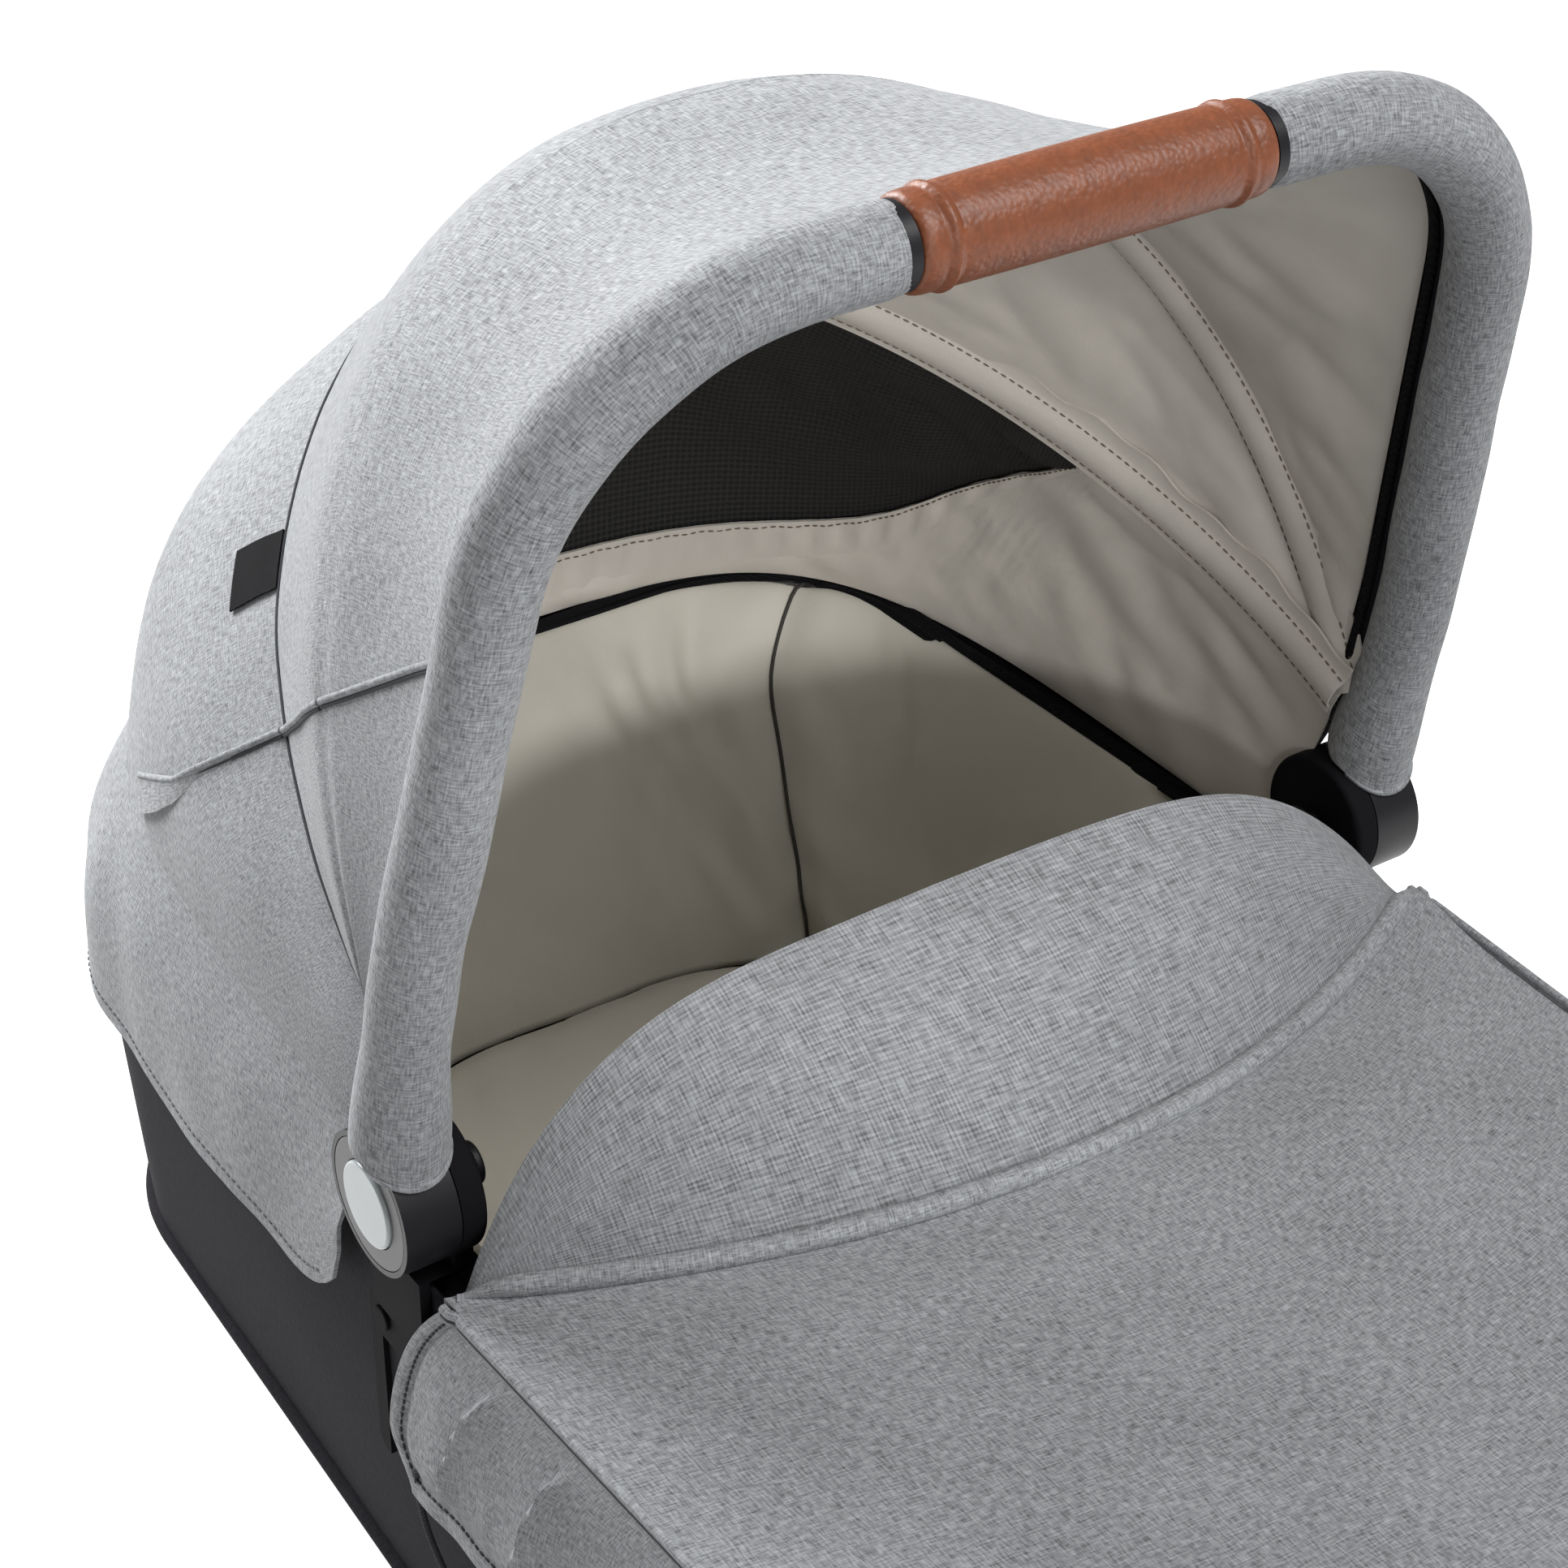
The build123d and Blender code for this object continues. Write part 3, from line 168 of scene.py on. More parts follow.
class CarrycotColours(bpy.types.PropertyGroup):
    """Colours of the finishes"""

    heather: colour("Heather cloth", "Middle tone of the grey outer cloth", "#96989b")
    charcoal: colour("Charcoal cloth", "Middle tone of the tub's cloth", "#232126")
    lining: colour("Lining", "Taupe satin of the canopy lining", "#d0cac1")
    pad: colour("Pads", "Cream satin of the tub's pads and the mattress", "#d8d4c8")
    leather: colour("Leatherette", "Tan of the grip", "#8a4d2e")
    nylon: colour("Black nylon", "Moulded hubs and brackets", "#1c1b1f")
    ring: colour("Hub ring", "Grey ring round each button", "#3b3a3c")
    button: colour("Button", "Pale button in each hub", "#a3aaac")


def sizes():
    """The sizes set in the sidebar, in millimetres to a thousandth."""
    group = bpy.context.scene.carrycot_sizes
    return SimpleNamespace(**{key: round(getattr(group, key) / MM, 3) for key in group.__annotations__})


def colours():
    """The colours set in the sidebar."""
    return bpy.context.scene.carrycot_colours


# Curves and surfaces


def running(steps):
    """Distances from the start, after none, one and more of the steps."""
    return np.concatenate([[0.0], np.cumsum(steps)])


def strides(rows, axis):
    """Lengths between neighbouring points, down the rows (0) or along them (1)."""
    return np.linalg.norm(np.diff(rows, axis=axis), axis=2)


def unit(vectors):
    """Vectors brought to a length of one."""
    return vectors / np.linalg.norm(vectors, axis=-1, keepdims=True).clip(1e-9)


def even(points, count):
    """A line's points, spaced evenly along it."""
    points = np.asarray(points, float)
    along = running(np.linalg.norm(np.diff(points, axis=0), axis=1))
    wanted = np.linspace(0.0, along[-1], count)
    return np.stack([np.interp(wanted, along, points[:, k]) for k in range(points.shape[1])], axis=1)


def arch(half, rise, power, lean, y=0.0, z=PIVOT_RISE):
    """A rounded arch from right to left in a plane that leans to the head by `lean` degrees."""
    turn = np.linspace(0.0, math.pi, DENSE)
    across = np.cos(turn)
    x = half * np.sign(across) * np.abs(across) ** (2 / power)
    up = rise * np.sin(turn).clip(0.0) ** (2 / power)
    lean = math.radians(lean)
    return np.stack([x, y + up * math.sin(lean), z + up * math.cos(lean)], axis=1)


def level(half, front, head, power, z):
    """The hood's plan outline at one height, from its right front edge round the head end to the left."""
    return arch(half, head - front, power, 90.0, y=front, z=z)


def rounded(corners, radii):
    """A line through corners, each turned on an arc of its radius."""
    corners = [np.asarray(corner, float) for corner in corners]
    points = [corners[0]]
    for before, corner, after, radius in zip(corners, corners[1:], corners[2:], radii):
        one = (before - corner) / np.linalg.norm(before - corner)
        two = (after - corner) / np.linalg.norm(after - corner)
        half_turn = math.acos(np.clip(-one @ two, -1, 1)) / 2
        middle = (one + two) / np.linalg.norm(one + two) * radius / math.cos(half_turn)
        for share in np.linspace(-1, 1, 25):
            angle = share * half_turn
            spoke = -middle / np.linalg.norm(middle) * math.cos(angle)
            spoke = spoke + (two - one) / np.linalg.norm(two - one) * math.sin(angle)
            points.append(corner + middle + spoke * radius)
    points.append(corners[-1])
    return np.array(points)


def loft(sections, knots, rows):
    """Smooth rows through section lines that have their points in step."""
    sections = np.asarray(sections, float)
    knots = np.asarray(knots, float)
    slopes = np.empty_like(sections)
    slopes[0] = (sections[1] - sections[0]) / (knots[1] - knots[0])
    slopes[-1] = (sections[-1] - sections[-2]) / (knots[-1] - knots[-2])
    for k in range(1, len(knots) - 1):
        slopes[k] = (sections[k + 1] - sections[k - 1]) / (knots[k + 1] - knots[k - 1])
    out = []
    for at in rows:
        k = int(np.clip(np.searchsorted(knots, at, side="right") - 1, 0, len(knots) - 2))
        span = knots[k + 1] - knots[k]
        t = (at - knots[k]) / span
        near, far = (1 + 2 * t) * (1 - t) ** 2, t * t * (3 - 2 * t)
        out.append(near * sections[k] + far * sections[k + 1]
                   + t * (1 - t) ** 2 * span * slopes[k] - t * t * (1 - t) * span * slopes[k + 1])
    return np.array(out)


def facing(rows):
    """Unit directions square to a surface given as rows of points."""
    return unit(np.cross(np.gradient(rows, axis=1), np.gradient(rows, axis=0)))


def outward(rows, centre=(0.0, 60.0, 40.0)):
    """Directions square to a surface, turned away from a centre."""
    square = facing(rows)
    sign = np.sign(((rows - np.asarray(centre)) * square).sum(axis=2, keepdims=True).mean())
    return square * sign


def ripple(points, across, depth, seed):
    """Soft uneven heights at points, in the size and depth given."""
    flat = np.asarray(points, float).reshape(-1, 3)
    heights = [noise.noise(Vector(p / across) + Vector((seed, 0.37 * seed, -seed))) for p in flat]
    return depth * np.array(heights).reshape(np.asarray(points).shape[:-1])


def smooth_step(value, low, high):
    """0 below low, 1 above high, easing between them."""
    t = np.clip((np.asarray(value, float) - low) / (high - low), 0.0, 1.0)
    return t * t * (3 - 2 * t)


# Pieces


def deselect_all():
    """Leave edit mode and let go of everything."""
    if bpy.context.object and bpy.context.object.mode != "OBJECT":
        bpy.ops.object.mode_set(mode="OBJECT")
    bpy.ops.object.select_all(action="DESELECT")


def activate(piece):
    """Make one piece the only one that operators act on."""
    deselect_all()
    piece.select_set(True)
    bpy.context.view_layer.objects.active = piece


def apply_modifier(piece, kind, **settings):
    """Add a modifier with its settings and apply it."""
    activate(piece)
    modifier = piece.modifiers.new(kind.title(), kind)
    for key, value in settings.items():
        setattr(modifier, key, value)
    bpy.ops.object.modifier_apply(modifier=modifier.name)


def edit_whole(piece, operator, **settings):
    """Run one edit-mode operator on the whole of a piece."""
    activate(piece)
    bpy.ops.object.mode_set(mode="EDIT")
    bpy.ops.mesh.select_all(action="SELECT")
    operator(**settings)
    bpy.ops.object.mode_set(mode="OBJECT")


def surface(name, rows, material, thickness=0.0, closed=False):
    """A grid pulled onto rows of points, with a UV map in metres along and across it."""
    rows = np.asarray(rows, float)
    count, width = rows.shape[:2]
    deselect_all()
    bpy.ops.mesh.primitive_grid_add(x_subdivisions=width - 1, y_subdivisions=count - 1, size=1)
    piece = bpy.context.object
    piece.name = name
    piece.data.name = name
    piece.location = (0, 0, 0)
    piece.data.vertices.foreach_set("co", to_frame(rows).reshape(-1))
    u = running(strides(rows, 1).mean(axis=0)) * MM
    v = running(strides(rows, 0).mean(axis=1)) * MM
    grid = np.stack(np.meshgrid(u, v), axis=2).reshape(-1, 2)
    corner = np.empty(len(piece.data.loops), int)
    piece.data.loops.foreach_get("vertex_index", corner)
    piece.data.uv_layers.active.data.foreach_set("uv", grid[corner].astype(np.float32).reshape(-1))
    piece.data.update()
    if closed:
        edit_whole(piece, bpy.ops.mesh.remove_doubles, threshold=1e-6)
    if thickness:
        apply_modifier(piece, "SOLIDIFY", thickness=thickness * MM, offset=-1.0, use_rim=True)
    activate(piece)
    bpy.ops.object.shade_smooth_by_angle(angle=math.radians(50))
    piece.data.materials.append(material)
    return piece


def sheet(name, rows, material, thickness, centre=(0.0, 60.0, 40.0), inside=False):
    """A cloth surface that faces away from a centre, or towards it."""
    rows = np.asarray(rows, float)
    square = facing(rows)
    turned = ((rows - np.asarray(centre)) * square).sum() < 0
    if turned != inside:
        rows = rows[:, ::-1]
    return surface(name, rows, material, thickness)


def ring_tube(name, line, radius, material, sides=16, closed_line=False):
    """A round tube along a line, with closed ends unless the line itself is closed."""
    line = np.asarray(line, float)
    ahead = np.gradient(line, axis=0)
    if closed_line:
        ahead[0] = ahead[-1] = line[1] - line[-2]
    ahead = unit(ahead)
    side = unit(np.cross(ahead, (0.0, 0.0, 1.0)))
    top = np.cross(side, ahead)
    radius = np.broadcast_to(np.asarray(radius, float), (len(line),))
    turn = np.linspace(0, 2 * math.pi, sides + 1)
    rows = [line + radius[:, None] * (math.cos(a) * side + math.sin(a) * top) for a in turn]
    rows = np.stack(rows, axis=1)
    if not closed_line:
        rows = np.concatenate([rows[:1] * 0 + line[0], rows, rows[:1] * 0 + line[-1]])
    piece = surface(name, rows, material, closed=True)
    edit_whole(piece, bpy.ops.mesh.normals_make_consistent, inside=False)
    return piece


def stitch_row(name, line, square, material, gap=1.35, thick=0.42):
    """A row of small stitches along a line on cloth; each is a stretched six-sided bead."""
    length = sizes().stitch
    lift = 0.25  # of a stitch's middle above the cloth
    deselect_all()
    bpy.ops.mesh.primitive_uv_sphere_add(segments=6, ring_count=4, radius=1.0)
    bead = bpy.context.object
    shape = np.array([v.co for v in bead.data.vertices])
    faces = [tuple(p.vertices) for p in bead.data.polygons]
    bpy.data.objects.remove(bead)
    line, square = np.asarray(line, float), np.asarray(square, float)
    total = np.linalg.norm(np.diff(line, axis=0), axis=1).sum()
    count = max(2, int(total / (length * gap)))
    spots = even(np.concatenate([line, square], axis=1), count + 1)
    places = (spots[:-1] + spots[1:]) / 2
    ahead = unit(np.diff(spots[:, :3], axis=0))
    top = unit(places[:, 3:])
    side = np.cross(ahead, top)
    vertices = (places[:, None, :3] + top[:, None] * lift
                + ahead[:, None] * shape[None, :, 2:3] * length / 2
                + side[:, None] * shape[None, :, 0:1] * thick
                + top[:, None] * shape[None, :, 1:2] * thick).reshape(-1, 3)
    joined = [tuple(i + k * len(shape) for i in face) for k in range(count) for face in faces]
    mesh = bpy.data.meshes.new(name)
    mesh.from_pydata(to_frame(vertices).tolist(), [], joined)
    piece = bpy.data.objects.new(name, mesh)
    bpy.context.collection.objects.link(piece)
    mesh.materials.append(material)
    for polygon in mesh.polygons:
        polygon.use_smooth = True
    return piece


# Materials


def add_node(tree, kind, values=None, links=None, stops=(), **settings):
    """Add one shader node with its settings, input values, links and, on a colour ramp, its stops."""
    made = tree.nodes.new(kind)
    for key, value in settings.items():
        setattr(made, key, value)
    for key, value in (values or {}).items():
        made.inputs[key].default_value = value
    for key, socket in (links or {}).items():
        tree.links.new(socket, made.inputs[key])
    for number, (place, rgba) in enumerate(stops):
        made.color_ramp.elements[number].position = place
        made.color_ramp.elements[number].color = rgba
    return made


def new_material(name, roughness, **values):
    """A named material with one Principled shader; returns the material, its tree and the shader."""
    material = bpy.data.materials.new(name)
    material.use_nodes = True
    tree = material.node_tree
    tree.nodes.clear()
    shader = add_node(tree, "ShaderNodeBsdfPrincipled", {"Roughness": roughness})
    for key, value in values.items():
        shader.inputs[key.replace("_", " ")].default_value = value
    add_node(tree, "ShaderNodeOutputMaterial", links={"Surface": shader.outputs["BSDF"]})
    return material, tree, shader


def finish_shader(tree, shader, rgb, height, depth):
    """Give a shader its colour, and a bump as deep as so many millimetres."""
    bump = add_node(tree, "ShaderNodeBump", {"Strength": 1.0, "Distance": depth * MM}, {"Height": height})
    tree.links.new(rgb, shader.inputs["Base Color"])
    tree.links.new(bump.outputs["Normal"], shader.inputs["Normal"])


def tinted(rgb, share):
    """A colour made lighter or darker by a share of itself."""
    return [min(1.0, c * share) for c in rgb] + [1.0]


def per_metre(span):
    """How often a pattern repeats in a metre, when one unit of it spans so many millimetres."""
    return 1 / (MM * span)


WAVE = 3.18  # a Wave texture repeats every 1/3.18 of a unit


def heather_cloth(name, rgb, thread, slub, contrast, fuzz=0.15, weave=0.0):
    """Melange polyester: slubby yarns of two tones woven square, matte with a soft fuzz.
    The yarns are drawn about twice as coarse as real ones, so that they show; weave is the pitch of a
    square weave that stands out from them."""
    material, tree, shader = new_material(name, 0.92, Sheen_Weight=fuzz, Sheen_Roughness=0.6,
                                          Specular_IOR_Level=0.2)
    place = add_node(tree, "ShaderNodeTexCoord").outputs["UV"]
    yarns = []
    for spans in ((thread, slub, slub), (slub, thread, thread)):
        lay = add_node(tree, "ShaderNodeMapping", {"Scale": [per_metre(span) for span in spans]},
                       {"Vector": place})
        fleck = add_node(tree, "ShaderNodeTexNoise", {"Scale": 1.0, "Detail": 2.0, "Roughness": 0.6},
                         {"Vector": lay.outputs["Vector"]})
        yarns.append(fleck.outputs["Fac"])
    both = add_node(tree, "ShaderNodeMath", links={0: yarns[0], 1: yarns[1]}, operation="ADD")
    cloud = add_node(tree, "ShaderNodeTexNoise", {"Scale": per_metre(60.0), "Detail": 1.0}, {"Vector": place})
    tone = add_node(tree, "ShaderNodeMath", {1: 0.18}, {0: cloud.outputs["Fac"], 2: both.outputs[0]},
                    operation="MULTIPLY_ADD")
    for direction, share in (("X", 0.17), ("Y", -0.17)) if weave else ():
        grid = add_node(tree, "ShaderNodeTexWave", {"Scale": per_metre(weave * WAVE), "Distortion": 0.6},
                        {"Vector": place}, bands_direction=direction)
        tone = add_node(tree, "ShaderNodeMath", {1: share}, {0: grid.outputs["Fac"], 2: tone.outputs[0]},
                        operation="MULTIPLY_ADD")
    mean = add_node(tree, "ShaderNodeMath", {1: 0.5}, {0: tone.outputs[0]}, operation="MULTIPLY")
    dark, pale = tinted(rgb, 1 - contrast), tinted(rgb, 1 + contrast * 1.1)
    ramp = add_node(tree, "ShaderNodeValToRGB", links={"Fac": mean.outputs[0]},
                    stops=((0.36, dark), (0.74, pale)))
    finish_shader(tree, shader, ramp.outputs["Color"], both.outputs[0], 0.2)
    return material


def satin_lining(name, rgb, crease):
    """Brushed polyester satin lining: smooth, faintly shiny, with soft creases where it is gathered."""
    material, tree, shader = new_material(name, 0.62, Sheen_Weight=0.2, Sheen_Roughness=0.4)
    place = add_node(tree, "ShaderNodeTexCoord").outputs["Object"]
    spans = (crease, crease * 1.6, crease)
    lay = add_node(tree, "ShaderNodeMapping", {"Scale": [per_metre(span) for span in spans]},
                   {"Vector": place})
    soft = add_node(tree, "ShaderNodeTexNoise", {"Scale": 1.0, "Detail": 3.0, "Distortion": 0.7},
                    {"Vector": lay.outputs["Vector"]})
    fine = add_node(tree, "ShaderNodeTexNoise", {"Scale": per_metre(1.2), "Detail": 1.0}, {"Vector": place})
    # the colour follows the crease noise of the bump: painted shade in the creases' hollows, painted light on
    # their ridges
    ramp = add_node(tree, "ShaderNodeValToRGB", links={"Fac": soft.outputs["Fac"]},
                    stops=((0.35, tinted(rgb, 0.93)), (0.7, tinted(rgb, 1.07))))
    height = add_node(tree, "ShaderNodeMath", {1: 0.05}, {0: fine.outputs["Fac"], 2: soft.outputs["Fac"]},
                      operation="MULTIPLY_ADD")
    finish_shader(tree, shader, ramp.outputs["Color"], height.outputs[0], 2.2)
    return material


def leatherette(name, rgb):
    """Embossed PU leather: pebbled grain, a waxy shine, and painted shade in the creases between the pebbles.
    """
    material, tree, shader = new_material(name, 0.45, Coat_Weight=0.06, Coat_Roughness=0.3)
    place = add_node(tree, "ShaderNodeTexCoord").outputs["Object"]
    grain = add_node(tree, "ShaderNodeTexVoronoi", {"Scale": per_metre(1.7), "Randomness": 1.0},
                     {"Vector": place}, feature="SMOOTH_F1")
    spans = (5.0, 9.0, 9.0)
    lay = add_node(tree, "ShaderNodeMapping", {"Scale": [per_metre(span) for span in spans]},
                   {"Vector": place})
    pull = add_node(tree, "ShaderNodeTexNoise", {"Scale": 1.0, "Detail": 4.0, "Roughness": 0.65},
                    {"Vector": lay.outputs["Vector"]})
    ramp = add_node(tree, "ShaderNodeValToRGB", links={"Fac": pull.outputs["Fac"]},
                    stops=((0.3, tinted(rgb, 0.84)), (0.72, tinted(rgb, 1.18))))
    # painted shade: darker towards the edges of the grain's cells, where the bump is lowest
    grain_crease_shade = add_node(tree, "ShaderNodeValToRGB", links={"Fac": grain.outputs["Distance"]},
                     stops=((0.0, (1, 1, 1, 1)), (1.0, (0.35, 0.35, 0.35, 1))))
    shade = add_node(tree, "ShaderNodeMix", {"Factor": 0.35}, data_type="RGBA", blend_type="MULTIPLY")
    tree.links.new(ramp.outputs["Color"], shade.inputs["A"])
    tree.links.new(grain_crease_shade.outputs["Color"], shade.inputs["B"])
    height = add_node(tree, "ShaderNodeMath", {1: -1.0},
                      {0: grain.outputs["Distance"], 2: pull.outputs["Fac"]}, operation="MULTIPLY_ADD")
    finish_shader(tree, shader, shade.outputs["Result"], height.outputs[0], 0.28)
    return material


def moulded(name, rgb, roughness, grit, depth, **values):
    """Moulded plastic or plated metal: even colour, with the fine spark-eroded texture of its tool."""
    material, tree, shader = new_material(name, roughness, **values)
    place = add_node(tree, "ShaderNodeTexCoord").outputs["Object"]
    fleck = add_node(tree, "ShaderNodeTexNoise", {"Scale": per_metre(grit), "Detail": 2.0}, {"Vector": place})
    wear = add_node(tree, "ShaderNodeTexNoise", {"Scale": per_metre(22.0), "Detail": 3.0}, {"Vector": place})
    ramp = add_node(tree, "ShaderNodeValToRGB", links={"Fac": wear.outputs["Fac"]},
                    stops=((0.0, tinted(rgb, 0.92)), (1.0, tinted(rgb, 1.1))))
    finish_shader(tree, shader, ramp.outputs["Color"], fleck.outputs["Fac"], depth)
    return material


def air_mesh(name):
    """Black knitted air mesh: rows of small round holes with paler thread between, drawn 2.6 mm apart; the
    holes are painted near-black as painted shade of the space behind.
    """
    material, tree, shader = new_material(name, 0.75)
    place = add_node(tree, "ShaderNodeTexCoord").outputs["UV"]
    holes = add_node(tree, "ShaderNodeTexVoronoi", {"Scale": per_metre(2.6), "Randomness": 0.0},
                     {"Vector": place}, feature="F1")
    # painted shade in the holes, near-black, and the thread's own dark colour between them
    ramp = add_node(tree, "ShaderNodeValToRGB", links={"Fac": holes.outputs["Distance"]},
                    stops=((0.34, (0.002, 0.002, 0.002, 1)), (0.46, (0.017, 0.016, 0.0155, 1))))
    finish_shader(tree, shader, ramp.outputs["Color"], holes.outputs["Distance"], 0.6)
    return material


def ribbed_tape(name, rgb, pitch):
    """Woven polyester binding: fine ribs across the tape, with painted light on their tops and painted shade
    between them.
    """
    material, tree, shader = new_material(name, 0.85, Specular_IOR_Level=0.15)
    place = add_node(tree, "ShaderNodeTexCoord").outputs["Object"]
    ribs = add_node(tree, "ShaderNodeTexWave", {"Scale": per_metre(pitch * 2), "Distortion": 0.4},
                    {"Vector": place}, bands_direction="DIAGONAL")
    # painted light on the ribs' tops and painted shade in the grooves, following the bump's waves
    ramp = add_node(tree, "ShaderNodeValToRGB", links={"Fac": ribs.outputs["Fac"]},
                    stops=((0.0, tinted(rgb, 0.7)), (1.0, tinted(rgb, 1.25))))
    finish_shader(tree, shader, ramp.outputs["Color"], ribs.outputs["Fac"], 0.3)
    return material


MATERIALS = {}


def make_materials():
    """Every finish of the carrycot, by a short name."""
    c = colours()
    MATERIALS.update(
        heather=heather_cloth("Heather polyester", c.heather, 0.7, 5.0, 0.7),
        fine=heather_cloth("Heather polyester, square weave", [v * 0.84 for v in c.heather], 0.8, 10.0, 0.6,
                           weave=1.6),
        charcoal=heather_cloth("Charcoal heather polyester", c.charcoal, 0.9, 5.0, 0.5, fuzz=0.0),
        lining=satin_lining("Beige polyester satin", c.lining, 55.0),
        pad=satin_lining("Beige quilted lining", c.pad, 90.0),
        # the pads' beige darkened to less than a tenth: painted shade for the tubes in the pads' corner seams
        pad_seam=moulded("Painted shade in the pads' corner seams", [v * 0.08 for v in c.pad], 0.9, 0.8, 0.1),
        leather=leatherette("Tan PU leather", c.leather),
        nylon=moulded("Black glass-filled nylon", c.nylon, 0.42, 0.9, 0.05, Specular_IOR_Level=0.3),
        matte_nylon=moulded("Black nylon, coarse texture", hex_colour("#151417"), 0.75, 1.2, 0.1,
                            Specular_IOR_Level=0.08),
        ring=moulded("Grey ABS", c.ring, 0.4, 0.8, 0.03),
        button=moulded("Pale grey ABS", c.button, 0.22, 1.5, 0.01, Coat_Weight=0.3),
        steel=moulded("Zinc-plated steel", hex_colour("#a9aab0"), 0.35, 0.7, 0.02, Metallic=1.0),
        black_steel=moulded("Black phosphated steel", hex_colour("#1a1a1c"), 0.5, 0.7, 0.02, Metallic=0.6),
        label=ribbed_tape("Black woven label", hex_colour("#101014"), 0.7),
        aluminium=moulded("Drawn aluminium tube", hex_colour("#b9babd"), 0.3, 0.8, 0.02, Metallic=1.0),
        rubber=moulded("Black rubber", hex_colour("#161616"), 0.85, 1.0, 0.08),
        board=moulded("Brown hardboard", hex_colour("#77603f"), 0.8, 2.0, 0.1),
        mesh=air_mesh("Black polyester air mesh"),
        binding=ribbed_tape("Black polyester binding", hex_colour("#141417"), 1.4),
        elastic=ribbed_tape("Grey elastic cord", hex_colour("#4b4b4f"), 1.0),
        zip=ribbed_tape("Black coil zip", hex_colour("#101012"), 1.8),
        thread=moulded("Dark grey polyester thread", hex_colour("#55565a"), 0.7, 0.5, 0.05),
        pale_thread=moulded("Brown polyester thread", hex_colour("#6f6355"), 0.7, 0.5, 0.05),
        seam=moulded("Seam shadow, folded cloth edge", hex_colour("#3c3d41"), 0.9, 0.8, 0.1),
    )


# Shared lines of the canopy


def bow_line(foot, count):
    """The bow's middle line in its plane, sideways and up, from the right foot to the left."""
    right = [(BOW_HALF, foot), (BOW_HALF, BOW_KNEE), (BOW_SHOULDER, BOW_TOP)]
    corners = right + [(-x, h) for x, h in reversed(right)]
    knee, shoulder = BOW_RADII
    return even(rounded(corners, (knee, shoulder, shoulder, knee)), count)


def bow_outward(line):
    """Directions in the bow's plane that point away from its opening."""
    ahead = unit(np.gradient(line, axis=0))
    return np.stack([ahead[:, 1], -ahead[:, 0]], axis=1)


def bow_place(flat, back):
    """Points of the bow's plane, moved back towards the head."""
    back = np.broadcast_to(np.asarray(back, float), flat.shape[:1])
    y = -flat[:, 1] * math.sin(BOW_LEAN) + back * math.cos(BOW_LEAN)
    z = flat[:, 1] * math.cos(BOW_LEAN) + back * math.sin(BOW_LEAN)
    return np.stack([flat[:, 0], y, z], axis=1)


def bow_edge(foot, out, back, count):
    """A line along the bow, moved outwards in its plane and back from it."""
    line = bow_line(foot, DENSE)
    return even(bow_place(line + bow_outward(line) * out, back), count)


COLUMNS = 181
CANOPY_KNOTS = (0.0, 1.0, 2.0, 2.75, 3.5)  # bow, front rib, rear rib, behind the rear rib, hood seam


def canopy_sections(inside):
    """The canopy's section lines from the bow to the hood seam, drawn in for the lining."""
    s = sizes()
    bow_foot, bow_back = BOW_SEAM
    half, rise, power, lean, back, up = BEHIND_ARCH
    seam_half, seam_front, seam_head, seam_round, seam_up = HOOD_SEAM
    front = arch(s.front_half - inside, s.front_rise - inside, FRONT_ROUND, FRONT_LEAN)
    rear = arch(s.rear_half - inside, s.rear_rise - inside, REAR_ROUND, REAR_LEAN)
    behind = arch(half - inside, rise - inside, power, lean, y=back, z=up)
    seam = level(seam_half - inside, seam_front, seam_head - inside, seam_round, seam_up)
    bow = bow_edge(bow_foot, -inside, bow_back + inside * 0.5, COLUMNS)
    return [bow] + [even(line, COLUMNS) for line in (front, rear, behind, seam)]


# Each canopy panel: the bodies before and behind it, how many degrees its middle leans to the head, its
# knots, and how far it swells out between them
PANELS = {
    "front": ("bow", "front_rib", 6.0, (0.0, 1.0), -13.0),
    "mid": ("front_rib", "rear_rib", 40.0, (1.0, 2.0), 2.0),
    "rear": ("rear_rib", "tub", 72.0, (2.0, 3.5), 11.0),
}


def canopy_rows(panel, count, inside=0.0):
    """Rows of one canopy panel: the front one is drawn straight and sags, the others swell out."""
    sections = canopy_sections(inside)
    first, last = PANELS[panel][3]
    used = slice(2) if panel == "front" else slice(None)
    rows = loft(sections[used], CANOPY_KNOTS[used], np.linspace(first, last, count))
    share = np.linspace(0, 1, count)[:, None, None]
    long = strides(rows, 0).sum(axis=0)
    swell = PANELS[panel][4] * (long / long.max()) ** 1.5
    return rows + outward(rows) * np.sin(math.pi * share) * swell[None, :, None]


def fan(piece):
    """Bake the transform of a piece of a canopy panel into its mesh."""
    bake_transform(piece)


def pinched(rows, depth, reach):
    """Draw a panel in at its first and last row, where it is sewn down."""
    along = running(strides(rows, 0).mean(axis=1))
    near = np.minimum(along, along[-1] - along)
    return rows - outward(rows) * (depth * np.exp(-(near / reach) ** 2))[:, None, None]


def cloth_rows(panel):
    """The outer cloth of one canopy panel, with its soft unevenness."""
    rows = pinched(canopy_rows(panel, count=46), depth=1.6, reach=8.0)
    uneven = ripple(rows, across=85.0, depth=1.8, seed=3.0)
    uneven = uneven + ripple(rows, across=32.0, depth=0.5, seed=13.0)
    return rows + outward(rows) * uneven[:, :, None]


def declare_cloth(rows):
    """Take a piece's rows as an array of floats; nothing is declared and nothing else is done with them."""
    rows = np.asarray(rows, float)


